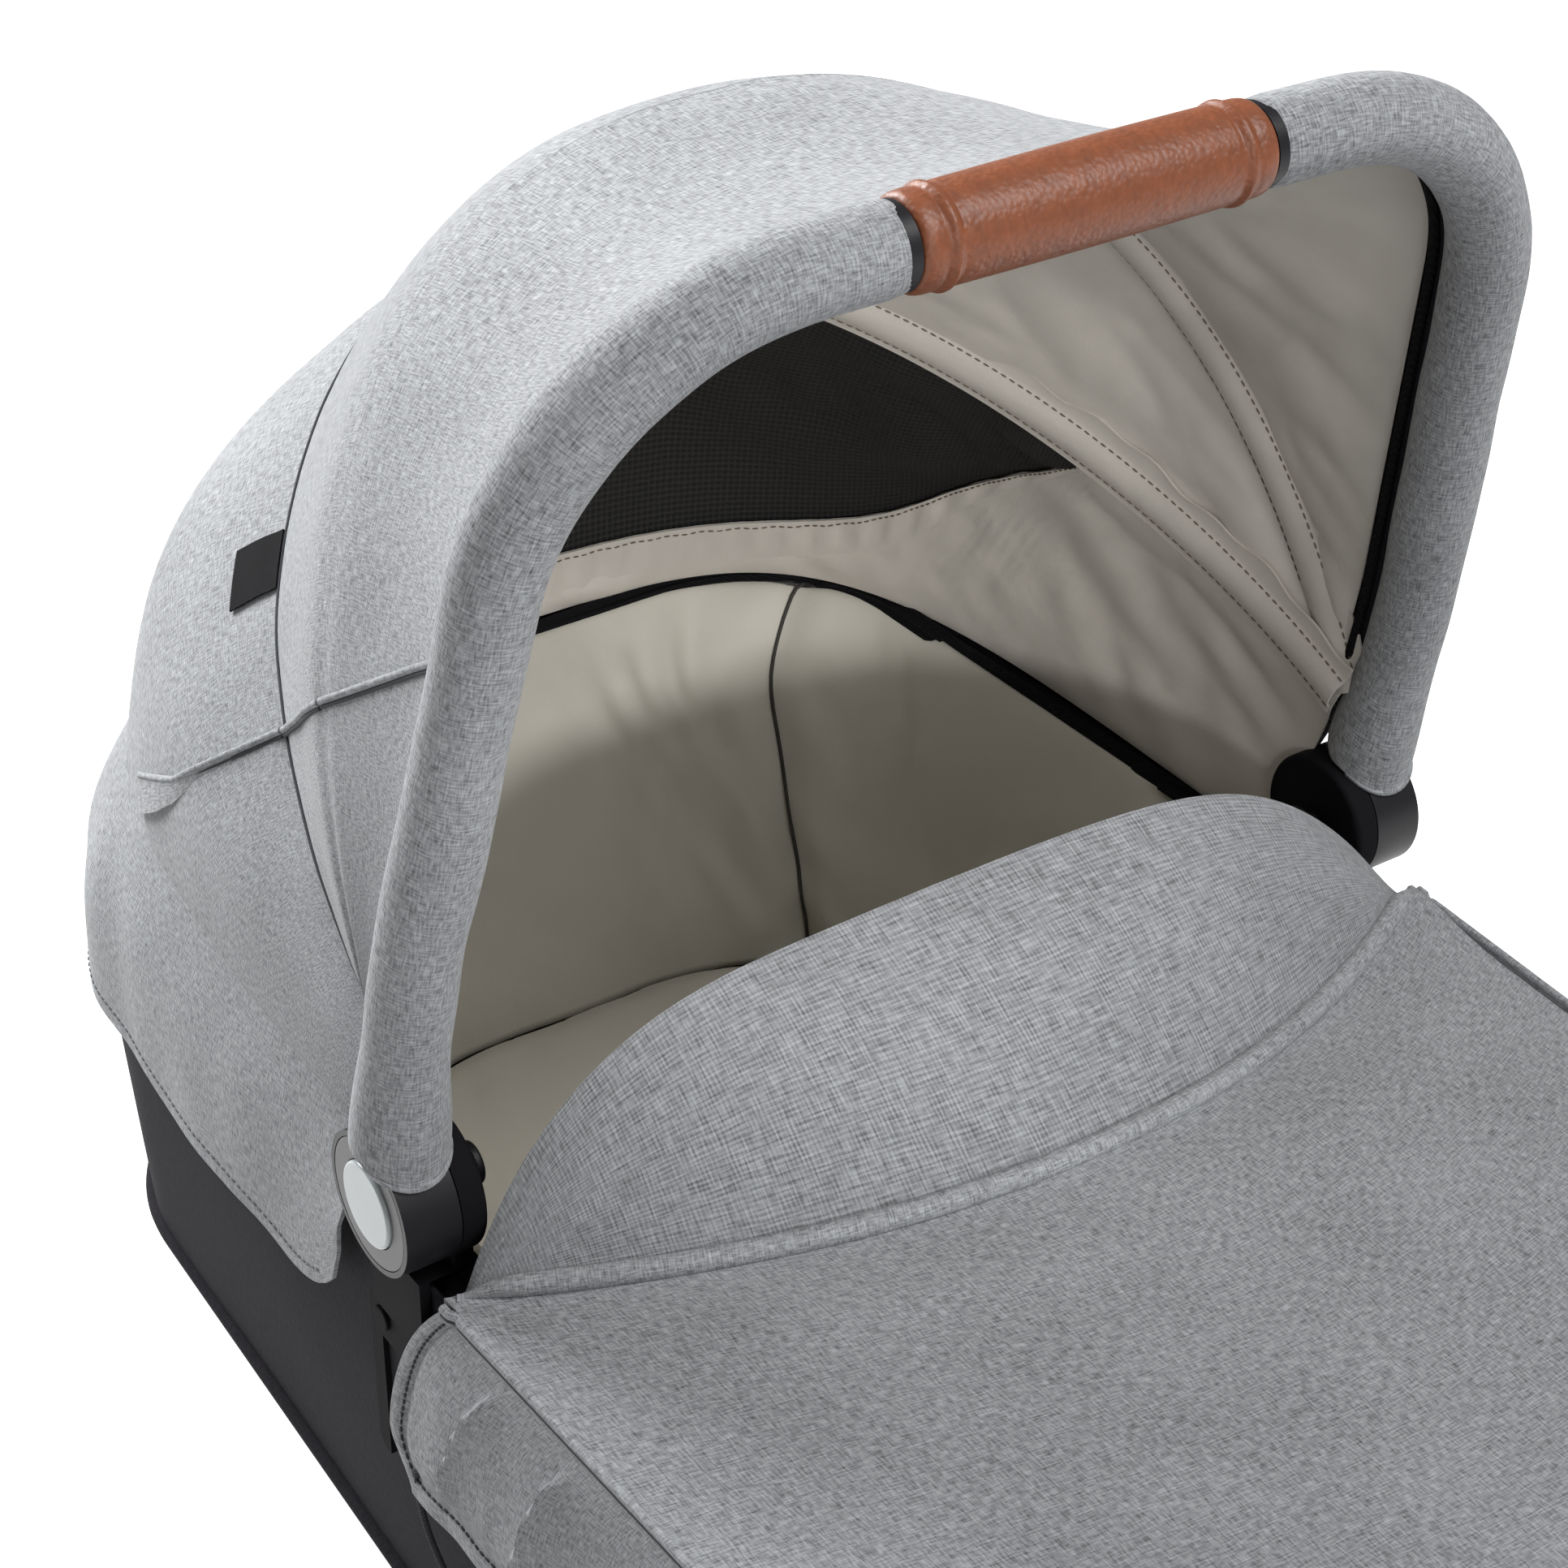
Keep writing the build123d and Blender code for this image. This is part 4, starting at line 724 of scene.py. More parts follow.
class CARRYCOT_OT_canopy(bpy.types.Operator):
    """Stretch the grey canopy cloth over the ribs, with its hood skirt"""

    bl_idname = "carrycot.canopy"
    bl_label = "Canopy cloth"

    # the welt's line on the side, as places along and up from the hub axis
    welt = ((-49.0, 233.0), (0.0, 200.0), (57.0, 160.0), (131.0, 101.0), (178.0, 64.0), (222.0, 40.0))
    label = (197.0, 225.0)  # along the rear rib's seam, up from its foot, in millimetres
    label_wide = 29.0
    side_from = 120.0  # the sides of the canopy start this far from its middle
    welt_up = 0.7
    tab_points = 52  # of the welt's points, that its loose end takes up
    tab_off, tab_long = (1.5, 3.5), (4.0, 9.0)  # off the cloth and down it: at the start, and more at the end
    # the rear seam is drawn as a thin dark tube of painted shadow
    seam_up, seam_thick = 0.15, 0.75  # the rear seam over the cloth, and half its thickness
    edge_up, edge_thick = 0.6, 1.9  # the same of the rolled front edge
    # the hood skirt's top, rim and hem: half width, front, head, roundness and height
    skirt_levels = (
        (214.0, 24.0, 351.0, 3.4, 20.0),
        (222.5, 27.0, 361.0, 4.2, -28.0),
        (HEM_HIGH[0] - 0.5, 34.0, HEM_HIGH[1] - 1.0, 4.4, HEM_LOW[2]),
    )
    tip_wide, tip_high = 46.0, 34.0  # of the rounded front tips
    skirt_rows = 48

    def execute(self, context):
        s = sizes()
        panels = {panel: cloth_rows(panel) for panel in PANELS}
        for panel, rows in panels.items():
            piece = sheet(f"canopy_{panel}_cloth", rows, MATERIALS["heather"], s.cloth)
            declare_cloth(rows)
            fan(piece)
            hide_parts(f"canopy_{panel}")
        self.rear_seam(panels["rear"])
        self.front_edge(panels["front"])
        for side, sign in SIDES:
            self.welts(side, sign, panels)
        self.sewn_label(panels["rear"])
        self.skirt(s)
        return {"FINISHED"}

    def rear_seam(self, rows):
        """The plain seam over the rear rib: a dark line of painted shadow where the two panels are drawn in.
        """
        line = rows[0] + outward(rows)[0] * self.seam_up
        piece = ring_tube("canopy_rear_seam", even(line, 241), self.seam_thick, MATERIALS["seam"], sides=8)
        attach(piece, "rear_rib")

    def front_edge(self, rows):
        """The rolled front edge of the canopy, where it lies against the back of the bow."""
        line = rows[0] + outward(rows)[0] * self.edge_up
        piece = ring_tube("canopy_front_edge", even(line, 301), self.edge_thick, MATERIALS["heather"],
                          sides=10)
        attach(piece, "bow")

    def welts(self, side, sign, panels):
        """The slanting welt across one side of the canopy, one length on each panel."""
        path = even(np.array(self.welt), 181)
        cloud = np.concatenate([rows.reshape(-1, 3) for rows in panels.values()])
        square = np.concatenate([outward(rows).reshape(-1, 3) for rows in panels.values()])
        owner = np.repeat(np.arange(3), [rows.shape[0] * rows.shape[1] for rows in panels.values()])
        keep = cloud[:, 0] * sign > self.side_from
        cloud, square, owner = cloud[keep], square[keep], owner[keep]
        line, top, which = [], [], []
        for y, z in path:
            far = np.hypot(cloud[:, 1] - y, cloud[:, 2] - z)
            near = np.argsort(far)[:8]
            share = 1 / (far[near] + 1.0) ** 2
            line.append((np.average(cloud[near, 0], weights=share), y, z))
            top.append(np.average(square[near], axis=0, weights=share))
            which.append(owner[near[0]])
        line, top, which = np.array(line), np.array(top), np.array(which)
        soft = np.ones(9) / 9
        line[4:-4, 0] = np.convolve(line[:, 0], soft, mode="valid")
        upwards = np.array([0.0, 0.5, 1.0])
        for k, panel in enumerate(panels):
            run = line[which == k]
            if len(run) < 4:
                continue
            raised = run + top[which == k] * self.welt_up
            for name, up, radius, material in (("welt", 0.6, 1.3, "heather"), ("shadow", -1.2, 0.8, "seam")):
                bead = ring_tube(f"canopy_{panel}_{name}_{side}", raised + upwards * up, radius,
                                 MATERIALS[material], sides=10)
                fan(bead)
        self.tab(side, line[-self.tab_points:], top[-self.tab_points:])

    def tab(self, side, line, top):
        """The loose end of the welt at the back: a small flap that stands off the cloth."""
        lift = smooth_step(np.linspace(0, 1, len(line)), 0.1, 0.9)[:, None]
        down = np.array([0.0, -0.35, -1.0])
        (off, more_off), (long, longer) = self.tab_off, self.tab_long
        rows = [line + top * (off + more_off * share * lift) + down * share * (long + longer * lift)
                for share in np.linspace(0, 1, 8)]
        piece = sheet(f"canopy_welt_tab_{side}", rows, MATERIALS["heather"], thickness=1.4)
        fan(piece)
        declare_cloth(rows)

    def sewn_label(self, rows):
        """The small blank woven label caught in the rear seam on the left side."""
        along = np.linalg.norm(np.diff(rows[0], axis=0), axis=1)
        along = np.concatenate([np.cumsum(along[::-1])[::-1], [0.0]])
        back = strides(rows, 0)
        low, high = self.label
        grid = []
        for up in np.linspace(low, high, 9):
            column = int(np.argmin(np.abs(along - up)))
            reach = running(back[:, column])
            steps = np.linspace(0.0, self.label_wide, 9)
            grid.append(np.stack([np.interp(steps, reach, rows[:, column, k]) for k in range(3)], axis=1))
        grid = np.array(grid)
        grid = grid + outward(grid) * 1.6
        piece = sheet("canopy_label", grid, MATERIALS["label"], thickness=0.7)
        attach(piece, "rear_rib")
        declare_cloth(grid)

    def skirt(self, s):
        """The hood skirt below the seam, flaring to a stitched hem with rounded front tips."""
        lines = [even(level(*measures), COLUMNS) for measures in self.skirt_levels]
        rows = loft(lines, (0.0, 1.0, 2.0), np.linspace(0, 2, self.skirt_rows))
        drop = np.linspace(0, 1, self.skirt_rows)[:, None]
        run = running(strides(rows, 1).mean(axis=0))
        from_tip = np.minimum(run, run[-1] - run)[None, :]
        tip = np.clip(1 - from_tip / self.tip_wide, 0, 1)
        rows[:, :, 2] += self.tip_high * (1 - np.sqrt(1 - tip ** 2)) * smooth_step(drop, 0.35, 1.0)
        square = outward(rows)
        upright = rows * np.array([1.0, 1.0, 0.35])
        folds = ripple(upright, across=46.0, depth=3.0, seed=9.0) * smooth_step(drop, 0.05, 0.5)
        folds = folds + ripple(rows, across=30.0, depth=0.6, seed=19.0)
        rows = rows + square * folds[:, :, None]
        piece = sheet("hood_skirt_cloth", rows, MATERIALS["heather"], s.cloth)
        declare_cloth(rows)
        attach(piece, "tub")
        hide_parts("hood_skirt")
        stitched = (-4, slice(3, -3))  # the row above the hem, between the front edges
        row = stitch_row("hood_hem_stitch", rows[stitched], square[stitched], MATERIALS["thread"])
        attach(row, "tub")


class CARRYCOT_OT_lining(bpy.types.Operator):
    """Hang the beige canopy lining with its rib tunnels, mesh vent and elastic band"""

    bl_idname = "carrycot.lining"
    bl_label = "Canopy lining"

    # creases are long one way, slanting down to the foot
    crease_turn = np.array(Matrix.Rotation(0.7, 3, "X") @ Matrix.Diagonal((0.8, 0.4, 1.5)))
    thin = 0.8  # thickness of the satin and the mesh
    vent_half = 0.66  # share of the arch's half length
    vent_drop = 0.94  # share of the way from the rear rib to the rim
    band = (0.055, 0.025)  # the elastic band above and below the vent's edge, as shares of the same way
    band_off, band_deep = 3.4, 1.6  # the band's distance from the lining, and the depth of its gathers
    flange = 8.0  # beside a rib tunnel's upper seam

    def execute(self, context):
        s = sizes()
        for panel in ("front", "mid"):
            rows = self.creased(canopy_rows(panel, count=40, inside=s.lining_gap), depth=2.2)
            piece = sheet(f"canopy_{panel}_lining", rows, MATERIALS["lining"], self.thin, inside=True)
            self.declare(piece, rows)
            fan(piece)
        self.rear(s)
        self.tunnel("front", FRONT_LEAN, s.front_half, s.front_rise, FRONT_ROUND)
        self.tunnel("rear", REAR_LEAN, s.rear_half, s.rear_rise, REAR_ROUND)
        return {"FINISHED"}

    def creased(self, rows, depth):
        """Lining with soft creases that run from rib to rib."""
        share = np.sin(np.linspace(0, math.pi, len(rows)))[:, None] ** 0.7
        slanted = rows @ self.crease_turn
        folds = np.abs(ripple(slanted, across=40.0, depth=depth * 2.4, seed=17.0))
        folds = folds + np.abs(ripple(rows, across=23.0, depth=depth * 0.8, seed=23.0))
        return rows - outward(rows) * (folds * share)[:, :, None]

    def declare(self, piece, rows):
        """Pass a lining panel's rows on to declare_cloth, which declares nothing."""
        declare_cloth(rows)

    def rear(self, s):
        """The rear lining: a mesh vent under the rear rib, and satin from its band down to the rim."""
        rim = level(half=TRIM_HIGH[0] - 6.0, front=20.0, head=TRIM_HIGH[1] - 4.0, power=4.4, z=RIM + 6.0)
        rim = even(rim, COLUMNS)
        top = canopy_sections(s.lining_gap)[2]
        middle = even(arch(half=203.0, rise=322.0, power=2.7, lean=80.0, y=12.0, z=24.0), COLUMNS)
        down = np.linspace(0, 1, 61)
        wall = loft([top, middle, rim], (0.0, 0.6, 1.0), down)
        share = np.abs(np.linspace(-1, 1, COLUMNS)) / self.vent_half
        split = self.vent_drop * (1 - share.clip(0, 1) ** 5.8)

        def part(low, high, count):
            """Rows of the wall between two heights that vary along it."""
            heights = low + (high - low) * np.linspace(0, 1, count)[:, None]
            columns = [np.stack([np.interp(heights[:, c], down, wall[:, c, k]) for k in range(3)], axis=1)
                       for c in range(wall.shape[1])]
            return np.stack(columns, axis=1)

        reach = self.vent_half / 2
        inner = slice(int(COLUMNS * (0.5 - reach)) + 1, int(COLUMNS * (0.5 + reach)))
        vent = part(np.zeros(COLUMNS), split, 30)[:, inner]
        slack = np.linspace(0, 1, len(vent))
        slack = (smooth_step(slack, 0.02, 0.2) * (1 - smooth_step(slack, 0.7, 0.9)))[:, None]
        slack = slack * np.abs(ripple(vent, across=46.0, depth=9.0, seed=31.0))
        vent = vent - outward(vent) * slack[:, :, None]
        piece = sheet("canopy_vent_mesh", vent, MATERIALS["mesh"], self.thin, inside=True)
        self.declare(piece, vent)
        fan(piece)
        satin = self.creased(part(split, np.ones(COLUMNS), count=34), depth=3.0)
        piece = sheet("canopy_rear_lining", satin, MATERIALS["lining"], self.thin, inside=True)
        self.declare(piece, satin)
        fan(piece)
        above, below = self.band
        band = part((split - above).clip(0), (split + below).clip(0, 1), count=9)[:, inner]
        gather = np.sin(np.arange(band.shape[1]) * 1.9)[None, :] * np.sin(np.linspace(0, math.pi, 9))[:, None]
        inward = -outward(band)
        band = band + inward * (self.band_off + self.band_deep * gather)[:, :, None]
        piece = sheet("vent_elastic_band", band, MATERIALS["lining"], thickness=1.4, inside=True)
        self.declare(piece, band)
        fan(piece)
        row = stitch_row("vent_band_stitch", band[1], inward[1], MATERIALS["pale_thread"])
        fan(row)

    def tunnel(self, which, lean, half, rise, power):
        """A rib tunnel: a sewn channel with a flat flange, standing in from the lining."""
        body = f"{which}_rib"
        gap = sizes().lining_gap
        line = even(arch(half - gap, rise - gap, power, lean), COLUMNS)
        turn = math.radians(lean)
        across = np.array([0.0, math.cos(turn), -math.sin(turn)])
        middle = np.array([0.0, math.sin(turn), math.cos(turn)]) * 0.30 * rise + (0.0, 0.0, PIVOT_RISE)
        inward = np.cross(unit(np.gradient(line, axis=0)), across)
        inward *= np.sign(((middle - line) * inward).sum(axis=1).mean())
        wide = sizes().tunnel
        # across the tunnel: aside from the rib, and in from the lining
        profile = ((-wide - self.flange, 2.5), (-wide - 1.5, 2.0), (-wide, 2.8), (-wide * 0.6, 5.2),
                   (0.0, 6.0), (wide * 0.6, 5.2), (wide, 2.8), (wide + 1.5, 2.0), (wide + 4.0, 2.0))
        wave = np.sin(np.arange(COLUMNS) * 0.9) * 1.2 + np.sin(np.arange(COLUMNS) * 0.37) * 1.4
        rows = np.array([line + across * aside + inward * deep for aside, deep in profile])
        rows[0] += across * wave[:, None]
        piece = sheet(f"rib_{which}_tunnel", rows, MATERIALS["lining"], thickness=1.0, inside=True)
        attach(piece, body)
        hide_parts(f"rib_{which}")
        self.declare(piece, rows)
        for k, name in ((2, "upper"), (6, "lower")):
            row = stitch_row(f"rib_{which}_stitch_{name}", rows[k], inward, MATERIALS["pale_thread"])
            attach(row, body)


class CARRYCOT_OT_bow(bpy.types.Operator):
    """Wrap the carry bow: padded sleeves with tongues over the hubs, the zip tape and the leather grip"""

    bl_idname = "carrycot.bow"
    bl_label = "Bow sleeves and grip"

    ring = 40
    tube = 9.5  # half thickness of the handle tube inside the grip
    bead, bead_wide = 11.0, 1.6  # a piped bead's place from the grip's end, and its width
    pinch, pinch_wide = 0.45, 0.9  # depth and width of the seams beside a bead
    leather = 15.6  # half thickness of the grip's ends
    tongue, cut_back = 6.5, 9.0  # how far a sleeve's foot comes down before the hub and stays up behind it
    foot_swell, foot_up = 2.6, 6.0

    def execute(self, context):
        for side, sign in SIDES:
            self.sleeve(side, sign)
        self.grip()
        self.zip_tape()
        return {"FINISHED"}

    def sleeve(self, side, sign):
        """One padded sleeve, from its tongue over the hub to the collar beside the grip."""
        s = sizes()
        line = bow_line(foot=20.0, count=401)
        line = even(line[line[:, 0] > GRIP_HALF + 1.2], count=150)
        out = bow_outward(line)
        turn = np.linspace(0, 2 * math.pi, self.ring + 1)
        along = np.arange(len(line)) / (len(line) - 1)
        end = smooth_step(along, 0.985, 1.0)
        foot = 1 - smooth_step(along, 0.0, 0.16)
        radius = s.sleeve * (1 - 0.04 * end) + self.foot_swell * foot
        rows = []
        for a in turn:
            front = max(0.0, -math.sin(a))
            drop = self.tongue * front ** 1.3 * foot - self.cut_back * max(0.0, math.sin(a)) * foot
            flat = line + out * (radius * math.cos(a))[:, None]
            flat[:, 1] -= drop - self.foot_up * foot
            back = radius * math.sin(a)
            reach = np.hypot(back, flat[:, 1])
            push = np.maximum(1.0, (HUB_R + 1.6) / reach)
            flat[:, 1] *= push
            rows.append(bow_place(flat, back * push))
        rows = np.stack(rows, axis=1)
        centre = bow_place(line, 0.0)[:, None]
        uneven = ripple(rows, across=34.0, depth=0.9, seed=5.0) * (1 - foot[:, None])
        rows = rows + unit(rows - centre) * uneven[:, :, None]
        rows[:, -1] = rows[:, 0]
        if sign < 0:
            rows = rows[:, ::-1] * np.array([-1.0, 1.0, 1.0])
        piece = surface(f"bow_sleeve_{side}", rows, MATERIALS["heather"], closed=True)
        edit_whole(piece, bpy.ops.mesh.normals_make_consistent, inside=False)
        apply_modifier(piece, "SOLIDIFY", thickness=1.8 * MM, offset=-1.0, use_rim=True)
        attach(piece, "bow")
        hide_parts(f"sleeve_{side}")

    def grip(self):
        """The leather grip: a tube with a piped bead near each end and rolled ends."""
        half = GRIP_HALF
        x = np.linspace(-half, half, 161)
        near = half - np.abs(x)
        radius = self.leather + 0.5 * np.sin(near / half * math.pi / 2)
        radius += 1.1 * np.exp(-((near - self.bead) / self.bead_wide) ** 2)
        for stitched in (self.bead + 2.9, self.bead - 2.9):
            radius -= self.pinch * np.exp(-((near - stitched) / self.pinch_wide) ** 2)
        radius -= 1.6 * np.exp(-near / 1.1)
        turn = np.linspace(0, 2 * math.pi, 65)
        rows = []
        for a in turn:
            flat = np.stack([x, BOW_TOP + radius * math.cos(a)], axis=1)
            rows.append(bow_place(flat, radius * math.sin(a)))
        rows = np.stack(rows, axis=1)
        hole = []
        for at in (0, -1):
            flat = np.stack([np.full(len(turn), x[at]), BOW_TOP + self.tube * np.cos(turn)], axis=1)
            hole.append(bow_place(flat, self.tube * np.sin(turn)))
        rows = np.concatenate([hole[:1], rows, hole[1:]])
        rows[:, -1] = rows[:, 0]
        piece = surface("leather_grip", rows, MATERIALS["leather"], closed=True)
        edit_whole(piece, bpy.ops.mesh.normals_make_consistent, inside=False)
        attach(piece, "bow")
        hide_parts("grip")

    def zip_tape(self):
        """The charcoal tape inside the bow, with the zip that holds the canopy to it."""
        rows = np.array([bow_edge(46.0, out, back, COLUMNS) for out, back in
                         ((-9.5, 9.0), (-9.0, 13.0), (-8.0, 18.0), (-8.0, 23.0))])
        piece = sheet("bow_zip_tape", rows, MATERIALS["charcoal"], thickness=1.0, inside=True)
        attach(piece, "bow")
        declare_cloth(rows)
        line = bow_edge(foot=50.0, out=-10.6, back=15.0, count=361)
        coil = ring_tube("bow_zip_coil", line, 1.9, MATERIALS["zip"], sides=10)
        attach(coil, "bow")


# Apron


FOLD_HALF, FOLD_TAPER = 218.0, 18.0  # half width at the hubs, and how much less it is at the foot
APRON_FOOT = APRON_END + 8.0
APRON_CORNER = 98.0
PIPING_HALF = 216.0
FLAP_HALF = 213.0
# Curves across the apron, along and up: the value in the middle, its change by the side, and the power of it
PIPING_CURVES = ((-113.0, 78.0, 1.86), (1.0, -20.0, 1.4))
EDGE_CURVES = ((-18.0, -18.7, 5.2), (56.0, -85.0, 4.3))


def fold_half(y):
    """Half width of the apron at its fold edge, at a place along it."""
    return FOLD_HALF - FOLD_TAPER * np.clip(np.asarray(y, float) / APRON_END, 0, 1)


def across_apron(x, half, curves):
    """Places along and up at sideways places of the apron."""
    share = np.abs(np.asarray(x, float)) / half
    return [middle + change * share ** power for middle, change, power in curves]


def piping_line(x):
    """The curved piping across the apron at sideways places."""
    return across_apron(x, PIPING_HALF, PIPING_CURVES)


def flap_edge(x):
    """The free front edge of the flap at sideways places."""
    return across_apron(x, FLAP_HALF, EDGE_CURVES)


class CARRYCOT_OT_apron(bpy.types.Operator):
    """Cover the foot end with the apron: crowned panel, side skirts, piping and turn-up flap"""

    bl_idname = "carrycot.apron"
    bl_label = "Apron"

    # each pleat's start behind the front edge at the fold, and how far it comes forward on its way down
    pleats = ((44.0, 12.0), (88.0, 8.0), (150.0, -6.0), (236.0, 10.0), (330.0, -8.0))
    pleat_high = 7.0
    edge_up, crown_high = -24.0, 26.0  # the panel's fold edge, and its crown above that
    skirt_top, skirt_drop, skirt_flare = -22.5, 93.5, 7.5
    piping_reach = PIPING_HALF + 0.5
    elastic_thick = 2.4
    elastic_back, elastic_sag = 78.0, 52.0  # how far its lower end lies towards the foot, and its bend below
    flap_swell = 7.0
    flap_before, flap_behind = 14.0, 34.0  # where the flap begins and ends to turn, from its fold

    def execute(self, context):
        self.panel()
        self.skirt()
        self.piping()
        self.flap()
        return {"FINISHED"}

    def foot_half(self, y):
        """Half width at the fold edge with the foot end's round corners."""
        into = np.clip((APRON_FOOT + APRON_CORNER - y) / APRON_CORNER, 0, 1)
        return fold_half(y) - APRON_CORNER * (1 - np.sqrt(1 - into ** 2))

    def panel(self):
        """The crowned top from the piping to the foot end."""
        u = np.linspace(-1, 1, 121)
        v = np.linspace(0, 1, 110)
        rows = []
        for share in v:
            eased = 1 - (1 - share) ** 1.35
            near_y, near_z = piping_line(u * PIPING_HALF)
            y = near_y + (APRON_FOOT - near_y) * eased
            x = u * self.foot_half(y)
            crown = (1 - np.abs(u) ** 2.6) * (1 - smooth_step(share, 0.72, 1.0) ** 1.4)
            z = self.edge_up + self.crown_high * crown
            sewn = near_z - (self.edge_up + self.crown_high * (1 - np.abs(u) ** 2.6))
            z = z + (sewn - 0.6) * (1 - smooth_step(share, 0.0, 0.09))
            rows.append(np.stack([x, y, z], axis=1))
        rows = np.array(rows)
        flat = (1 - np.abs(u) ** 6)[None, :]
        rows[:, :, 2] += ripple(rows, across=120.0, depth=2.2, seed=41.0) * flat
        piece = sheet("apron_cloth", rows, MATERIALS["heather"], thickness=2.0, centre=(0, -200, -200))
        declare_cloth(rows)
        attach(piece, "tub")
        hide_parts("apron_panel")

    def outline(self, drop, count):
        """The apron's fold edge or hem seen from above, from the right front corner round to the left."""
        grow = 1.0 + self.skirt_flare * drop
        front = -37.0 + 34.0 * (1 - (1 - drop) ** 2.6) - 18.0 * smooth_step(drop, 0.74, 1.0) ** 2
        right = fold_half(front) + grow
        foot = APRON_FOOT - grow + 1.0
        half_foot = fold_half(APRON_FOOT) + grow
        corners = [(right, front), (half_foot, foot), (-half_foot, foot), (-right, front)]
        return even(rounded(corners, (APRON_CORNER, APRON_CORNER)), count)

    def skirt(self):
        """The side skirts from the fold edge down to a stitched hem."""
        rows = []
        for drop in np.linspace(0, 1, 46):
            flat = self.outline(drop, 641)
            z = np.full(len(flat), self.skirt_top - self.skirt_drop * drop)
            rows.append(np.column_stack([flat, z]))
        rows = np.array(rows)
        square = outward(rows, centre=(0, -200, -60))
        hang = np.linspace(0, 1, len(rows))[:, None]
        run = running(strides(rows, 1).mean(axis=0))
        from_front = np.minimum(run, run[-1] - run)[None, :]
        hem = sizes().hem
        from_edge = np.minimum(from_front, (1 - hang) * (rows[0, 0, 2] - rows[-1, 0, 2]))
        upright = rows * np.array([1.0, 1.0, 0.30])
        pleats = ripple(upright, across=24.0, depth=2.0, seed=51.0) * smooth_step(hang, 0.1, 0.8)
        for start, slant in self.pleats:
            past = from_front - (start - slant * hang)
            ridge = smooth_step(past, 0.0, 2.5) * np.exp(-np.clip(past, 0.0, None) / 13.0)
            inside = smooth_step(hang, 0.06, 0.3) * smooth_step(from_edge, hem, hem * 3)
            pleats = pleats + self.pleat_high * ridge * inside
        bound = 1 - smooth_step(from_edge, hem - 1.5, hem) - 1.3 * np.exp(-((from_edge - hem) / 1.6) ** 2)
        uneven = ripple(rows, across=60.0, depth=1.6, seed=53.0) * hang
        rows = rows + square * (pleats + bound + uneven)[:, :, None]
        piece = sheet("apron_skirt_cloth", rows, MATERIALS["heather"], thickness=1.8, centre=(0, -200, -60))
        declare_cloth(rows)
        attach(piece, "tub")
        self.seams(rows, square)

    def seams(self, rows, square):
        """The hem's stitching along the skirt's edges, the fold's welt with a dark bead of painted shadow
        under it, and the elastic loops.
        """
        hem = sizes().hem
        inset = int(round(hem / strides(rows, 1).mean()))
        low = len(rows) - 1 - int(round(hem / strides(rows, 0).mean()))
        start = 3
        line, top = (np.concatenate([grid[start:low, inset], grid[low, inset:-inset],
                                     grid[start:low, -inset - 1][::-1]]) for grid in (rows, square))
        corner = low - start  # where the front edge's stitches turn into the hem's
        line[corner - 2:corner + 2] = even(line[[corner - 3, corner + 3]], 4)
        piece = stitch_row("apron_hem_stitch", line, top, MATERIALS["seam"], gap=1.15, thick=0.6)
        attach(piece, "tub")
        # the welt along the fold, and just below it a dark bead: painted shadow under the welt
        for name, up, radius, material in (("welt", 0.8, 1.7, "heather"), ("seam", -1.4, 1.3, "seam")):
            bead = ring_tube(f"apron_fold_{name}", rows[0] + np.array([0.0, 0.0, up]), radius,
                             MATERIALS[material], sides=10)
            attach(bead, "tub")
        for side, sign in SIDES:
            self.elastic(side, rows[-6, 6 if sign > 0 else -7], sign)

    def elastic(self, side, start, sign):
        """The thin elastic loop that hooks the skirt to the foot of the tub."""
        foot_y = start[1] - self.elastic_back
        wall = TUB_HIGH[0] - SIDE_TAPER * foot_y / TUB_LOW[1]
        end = np.array([sign * (wall - 4.2), foot_y, PIPE_HIGH[2] + 4.0])
        bend = start + np.array([sign * 1.5, 4.0, -self.elastic_sag])
        share = np.linspace(0, 1, 41)[:, None]
        line = (1 - share) ** 2 * start + 2 * share * (1 - share) * bend + share ** 2 * end
        piece = ring_tube(f"apron_elastic_{side}", line, self.elastic_thick / 2, MATERIALS["elastic"],
                          sides=10)
        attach(piece, "tub")

    def piping(self):
        """The fat piping that curves across between the panel and the flap."""
        x = np.linspace(-self.piping_reach, self.piping_reach, 181)
        y, z = piping_line(x)
        line = even(np.stack([x, y, z + 2.0], axis=1), 241)
        ends = smooth_step(self.piping_reach - np.abs(line[:, 0]), 0.0, 24.0)
        line[:, 2] -= 4.5 * (1 - ends) ** 2
        radius = sizes().piping * (0.3 + 0.7 * ends)
        piece = ring_tube("apron_piping_welt", line, radius, MATERIALS["heather"], sides=18)
        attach(piece, "tub")
        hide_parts("apron_piping")

    def flap(self):
        """The turn-up flap in square-woven cloth, one piece from the piping to its free edge."""
        x = np.linspace(-FLAP_HALF, FLAP_HALF, 141)
        near_y, near_z = piping_line(x)
        far_y, far_z = flap_edge(x)
        full = self.flap_swell * (1 - (x / FLAP_HALF) ** 4)
        rows = []
        for share in np.linspace(0, 1, 44):
            y = near_y + (far_y - near_y) * share
            z = near_z + (far_z - near_z) * share + math.sin(math.pi * share) * full
            rows.append(np.stack([x, y, z], axis=1))
        rows = np.array(rows)
        rows[:, :, 2] += ripple(rows, across=90.0, depth=1.8, seed=61.0)
        piece = sheet("apron_flap_cloth", rows, MATERIALS["fine"], thickness=3.0, centre=(0, -30, -300))
        declare_cloth(rows)
        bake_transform(piece)
        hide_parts("apron_yoke", "apron_flap")


# Tub


